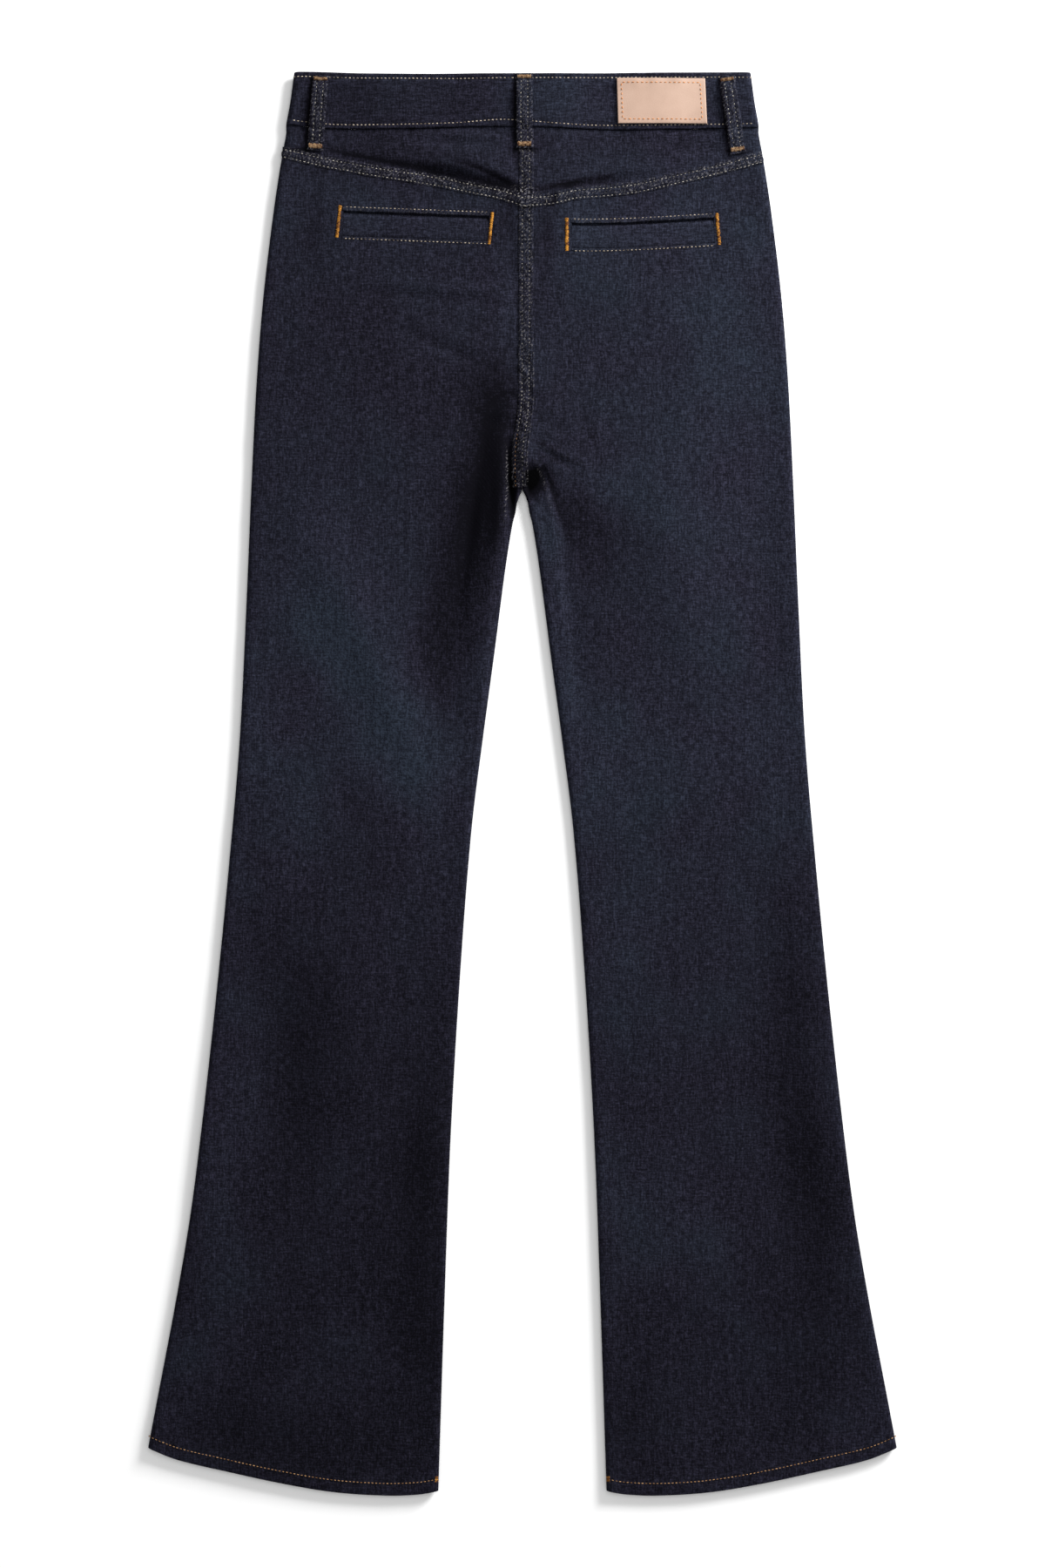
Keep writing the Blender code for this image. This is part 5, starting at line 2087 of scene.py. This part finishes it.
@dataclass
class Seams(SubAssembly):
    """Felled seams of the yokes and the seat, and the hems' rows of stitches."""

    seat_start: float = 44.5
    seat_end: float = 334.5
    first_stitch: float = 17
    seat_change: float = 291
    piping_start: float = 225
    yoke_shift: float = 0.7
    crossing: float = 6.5
    piping_out: float = 6.3
    hem_row: float = 10.2
    hem_level: float = 1120
    hem_gaps: tuple[float, float] = (1.2, 1.4)
    tack_length: float = 4.2
    tack_width: float = 3.2

    def build(self) -> None:
        """Builds the seams."""
        self.build_yoke_and_seat()
        self.build_hems()

    def build_yoke_and_seat(self) -> None:
        """Felled seams across and down the seat."""
        lie, face = self.lie, Face(self.lie.back)
        beige = Stitching("yoke_stitches", Thread("thread_beige", 0.31, 3.2, 0.54), 41)
        thin = Stitching("seat_stitches", Thread("thread_beige", 0.22, 3.2, 0.42), 45)
        tan = Stitching("crotch_stitches", Thread("thread_tan", 0.2, 3.2, 0.45), 43)
        for side in Side:
            edge = side.value * float(lie.side_line(np.array(66)) - 0.4)
            over = self.crossing if side is Side.LEFT else 0.3
            path = across_line(lie.yoke_seam, edge, SEAT_SEAM[0][1] + over)
            shift = self.yoke_shift * side.value
            fell = Fell(
                f"yoke_fell_{side.label}", Seamline(face, path), 5.2, shift=shift, rows=(-2.95, 2.95),
                seed=5 + side.value, wear=0.65, climb=1.2 if side is Side.LEFT else 0,
                notch=18.2 if side is Side.LEFT else 22.4)
            finish_piece(fell.build(), self.wardrobe.fell_denim, "denim")
            for row in fell.rows:
                beige.row(fell.seam, row, 1, None, fell.lift)
            if side is Side.RIGHT:
                x, down = fell.seam.place(np.full(2, fell.seam.length - 16), np.array(fell.rows))
                back = Seamline(face, straight(x[0], down[0], x[1], down[1]))
                beige.row(back, 0, 0, None, level_lift(fell.height))
        down = np.linspace(self.seat_start, self.seat_end, 240)
        seam = Seamline(Face(lie.seat_top), np.stack([lie.fell_line(down), down], -1))
        fell = Fell("seat_fell", seam, 6.2, 1.15, (-2.8, 3), seed=9, wear=0.56)
        finish_piece(fell.build(), self.wardrobe.fell_denim, "denim")
        down = np.linspace(self.piping_start, self.seat_end - 3, 160)
        line = Seamline(Face(lie.seat_top), np.stack([lie.fell_line(down) + self.piping_out, down], -1))
        piping = Fell("seat_piping", line, 0.8, 1.3, (), roping=0.2, seed=19, wear=0.7)
        finish_piece(piping.build(), self.wardrobe.denim, "denim")
        left_row, right_row = fell.rows
        change = self.seat_change - self.seat_start
        thin.row(seam, right_row, self.first_stitch, change, fell.lift)
        tan.row(seam, right_row, change, None, fell.lift)
        thin.row(seam, left_row, self.first_stitch, None, fell.lift)
        beige.finish(self.wardrobe.worn_beige)
        thin.finish(self.wardrobe.worn_beige)
        tan.finish(self.wardrobe.tan)

    def build_hems(self) -> None:
        """Rows of stitches along the hems, with a bar at the inseam."""
        lie = self.lie
        rows = Stitching("hem_stitches", Thread("thread_tan", 0.31, 3), 51)
        bars = Stitching("hem_bars", Thread("thread_gold", 0.34), 53, crown=1.5)
        line = lambda x: lie.hem_edge(x) - self.hem_row
        for face in (Face(lie.back), Face(lie.front, up=False)):
            for side in Side:
                inner, outer = (side.value * float(edge(np.array(self.hem_level)))
                                for edge in (lie.inseam_line, lie.side_line))
                path = across_line(line, outer - side.value * self.hem_gaps[0],
                                   inner + side.value * self.hem_gaps[1])
                seam = Seamline(face, path)
                rows.row(seam, 0)
                if face.up:
                    x, down = path[-1] - np.array([side.value * -0.8, 2])
                    tack = Seamline(face, straight(x, down, x, down + self.tack_length))
                    bars.bar(tack, self.tack_width / 2)
        rows.finish(self.wardrobe.tan)
        bars.finish(self.wardrobe.gold)


class SliderPart(NamedTuple):
    """Block of the zip's slider: below the zip's top, over the tape, and its size."""

    below: float
    rise: float
    size: tuple[float, float, float]


@dataclass
class Fly(SubAssembly):
    """Closure at the front: seam, curved rows, zip and button."""

    zip_top: float = 60
    zip_length: float = 105
    zip_width: float = 22
    tape_wall: float = 0.8
    bare_ends: float = 14
    first_tooth: float = 10
    tooth_pitch: float = 2.4
    tooth_offset: float = 0.7
    tooth_size: tuple[float, float, float] = (3.4, 1.5, 1.3)
    slider: tuple[SliderPart, ...] = (
        SliderPart(7, 1, (7, 8.5, 2)), SliderPart(8, 2.1, (2.2, 6, 0.9)),
        SliderPart(18, 2.6, (4.2, 19, 0.8)))
    button_sides: int = 56
    button_down: float = 35
    button_profile: Pairs = (
        (0.05, 0.5), (3.2, 0.5), (4, 0.3), (4.5, 0.45), (5.2, 0.45), (5.8, 0.05), (6.6, 0),
        (7.6, 0.2), (8.2, 0.6), (8.5, 1.2), (8.3, 1.8), (7.2, 2.3), (6.2, 2.4), (2.4, 2.4),
        (2.3, 2.6), (2.3, 5.2), (0.05, 5.2))
    row_spacing: float = 6
    fell_top: float = 190
    fell_end: float = 328
    curve: Pairs = (
        (-34, 57.5), (-34, 148), (-32.5, 163), (-27.5, 176), (-18, 186), (-8, 190.5), (-2, 192))

    def build(self) -> None:
        """Builds the fly."""
        self.build_seam()
        self.build_zip()
        self.build_button()

    def build_seam(self) -> None:
        """Rows of the fly and the felled seam under it."""
        face = Face(self.lie.front, up=False)
        rows = Stitching("fly_stitches", Thread("thread_beige", 0.34, 3.2), 61)
        points = np.array(self.curve)
        marks = np.concatenate([[0], np.cumsum(np.hypot(*np.diff(points, axis=0).T))])
        smooth_x, smooth_down = (Curve(list(zip(marks, points[:, i]))) for i in (0, 1))
        at = np.linspace(0, marks[-1], 160)
        seam = Seamline(face, np.stack([smooth_x(at), smooth_down(at)], -1))
        rows.row(seam, 0)
        rows.row(seam, -self.row_spacing, 0, seam.length - 8)
        centre = Seamline(face, straight(0, self.fell_top, 0, self.fell_end))
        fell = Fell("front_fell", centre, 4.4, 0.8, (-2.6, 2.6), seed=15)
        finish_piece(fell.build(), self.wardrobe.fell_denim, "denim")
        for row in fell.rows:
            rows.row(centre, row, 1, None, fell.lift)
        rows.finish(self.wardrobe.beige)

    def build_zip(self) -> None:
        """Tape, teeth and slider, closed, between the layers."""
        lie = self.lie
        face = Face(lambda x, down: lie.front_level(x, down) + CLOTH_WALL + SEAM_GAP)
        half, low = self.zip_width / 2, self.zip_top + self.zip_length
        wall = self.tape_wall
        tape = ClothPiece(
            "zip_tape", Face(lambda x, down: face.height(x, down) + wall), level_line(-half),
            level_line(half), level_line(self.zip_top), level_line(low), wall, 2.5, round_left=True,
            round_right=True).build()
        finish_piece(tape, self.wardrobe.tape, "zip_tape", "fly_zip")
        number = np.arange(int((self.zip_length - self.bare_ends) / self.tooth_pitch))
        down = self.zip_top + self.first_tooth + number * self.tooth_pitch
        side = np.where(number % 2 == 0, -1, 1)
        size = np.array(self.tooth_size)
        centres = np.stack([side * self.tooth_offset, HALF_LENGTH - down,
                            face.height(side, down) + wall + size[2] / 2], -1)
        teeth = blocks("zip_teeth", centres, size)
        finish_piece(teeth, self.wardrobe.metal, "zip_metal", "fly_zip")
        base = float(face.height(np.array(0), np.array(self.zip_top + 6))) + wall
        centres = np.array([[0, HALF_LENGTH - self.zip_top - part.below, base + part.rise]
                            for part in self.slider])
        slider = blocks("zip_slider", centres, np.array([part.size for part in self.slider]))
        finish_piece(slider, self.wardrobe.metal, "zip_metal", "fly_zip")

    def build_button(self) -> None:
        """Turned shank button, its face down, from the radius and height along its profile."""
        rows, sides = np.array(self.button_profile), self.button_sides
        angles = np.linspace(0, math.tau, sides + 1)[:-1]
        points = np.stack([
            rows[:, :1] * np.cos(angles), HALF_LENGTH - self.button_down
            + rows[:, :1] * np.sin(angles), np.broadcast_to(rows[:, 1:], (len(rows), sides))], -1)
        button = mesh_object("button_turned", points.reshape(-1, 3), ring_quads(len(rows), sides))
        finish_piece(button, self.wardrobe.metal, "button_brass", "shank_button")


def blocks(name: str, centres: Array, sizes: Array) -> Piece:
    """Small blocks with eased edges, in one mesh.

    Args:
        name: Name of the piece.
        centres: Middle of each block.
        sizes: Size of each block, or of all.

    Returns:
        The piece.
    """
    sizes = np.broadcast_to(sizes, centres.shape)
    build = bmesh.new()
    for centre, size in zip(centres, sizes):
        made = bmesh.ops.create_cube(build, size=1)["verts"]
        for vertex in made:
            vertex.co = [(vertex.co[i] * size[i] + centre[i]) * MM for i in range(3)]
    bmesh.ops.bevel(
        build, geom=build.edges[:], offset=0.22 * MM, segments=2, affect="EDGES", profile=0.6)
    mesh = bpy.data.meshes.new(name)
    build.to_mesh(mesh)
    build.free()
    mesh.shade_smooth()
    mesh.set_sharp_from_angle(angle=SHARP_ANGLE)
    return in_scene(name, mesh)


@dataclass
class Studio:
    """Floor, lights and camera."""

    pixel: float = 0.705
    photo_width: int = 1200
    photo_height: int = 1800
    middle_pixel: float = 599.9
    lowered: float = 0.0006
    camera_height: float = 3
    cloth_height: float = 0.006
    sensor: float = 36
    floor_size: float = 8
    floor_colour: Colour = (0.93, 0.93, 0.93, 1)
    white: Colour = (1, 1, 1, 1)
    sky_strength: float = 0.5

    def build(self) -> None:
        """Builds the studio round the garment."""
        self.floor()
        self.lights()
        self.camera()

    def floor(self) -> None:
        """Plain pale floor just under the cloth."""
        size = self.floor_size
        mesh = bpy.data.meshes.new("floor")
        corners = [(x * size, y * size, FLOOR_Z) for x, y in ((-1, -1), (1, -1), (1, 1), (-1, 1))]
        mesh.from_pydata(corners, [], [(0, 1, 2, 3)])
        mesh.materials.append(Surface("White floor").dress({
            "Base Color": self.floor_colour, "Roughness": 1, "Specular IOR Level": 0}))
        in_scene("floor", mesh)

    def area_light(self, name: str, place: tuple[float, float, float], size: float,
                   power: float) -> None:
        """Square soft light aimed at the garment's middle.

        Args:
            name: Name of the light.
            place: Where it stands.
            size: Length of its side.
            power: Its watts.
        """
        light = bpy.data.lights.new(name, "AREA")
        light.shape = "SQUARE"
        light.size = size
        light.energy = power
        lamp = in_scene(name, light)
        lamp.location = place
        lamp.rotation_euler = (-lamp.location).to_track_quat("-Z", "Y").to_euler()

    def lights(self) -> None:
        """Soft light from above, and a lower one from the upper right."""
        world = bpy.data.worlds.new("Studio")
        world.use_nodes = True
        sky = world.node_tree.nodes["Background"]
        sky.inputs["Color"].default_value = self.white
        sky.inputs["Strength"].default_value = self.sky_strength
        bpy.context.scene.world = world
        self.area_light("Key", (1.9, 1.75, 0.98), 1.1, 178)
        self.area_light("Top", (0.4, 0.5, 3.4), 2.4, 30)
        bpy.context.scene.view_settings.view_transform = "Standard"

    def camera(self) -> None:
        """Camera straight above, framed as the photograph."""
        frame_height = self.photo_height * self.pixel * MM
        data = bpy.data.cameras.new("Camera")
        data.sensor_width = self.sensor
        data.lens = self.sensor * (self.camera_height - self.cloth_height) / frame_height
        camera = in_scene("Camera", data)
        offset = (self.photo_width / 2 - self.middle_pixel) * self.pixel * MM
        camera.location = (offset, self.lowered, self.camera_height)
        bpy.context.scene.camera = camera


def main() -> None:
    """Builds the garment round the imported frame, then the studio."""
    logging.basicConfig(level=logging.INFO, format="%(message)s")
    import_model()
    lie, wardrobe = Lie(), Wardrobe()
    fronts = Fronts(lie, wardrobe).build()
    Backs(lie, wardrobe).build(fronts)
    Waistband(lie, wardrobe).build(fronts)
    Pockets(lie, wardrobe).build()
    Seams(lie, wardrobe).build()
    Fly(lie, wardrobe).build()
    Studio().build()


if __name__ == "__main__":
    main()
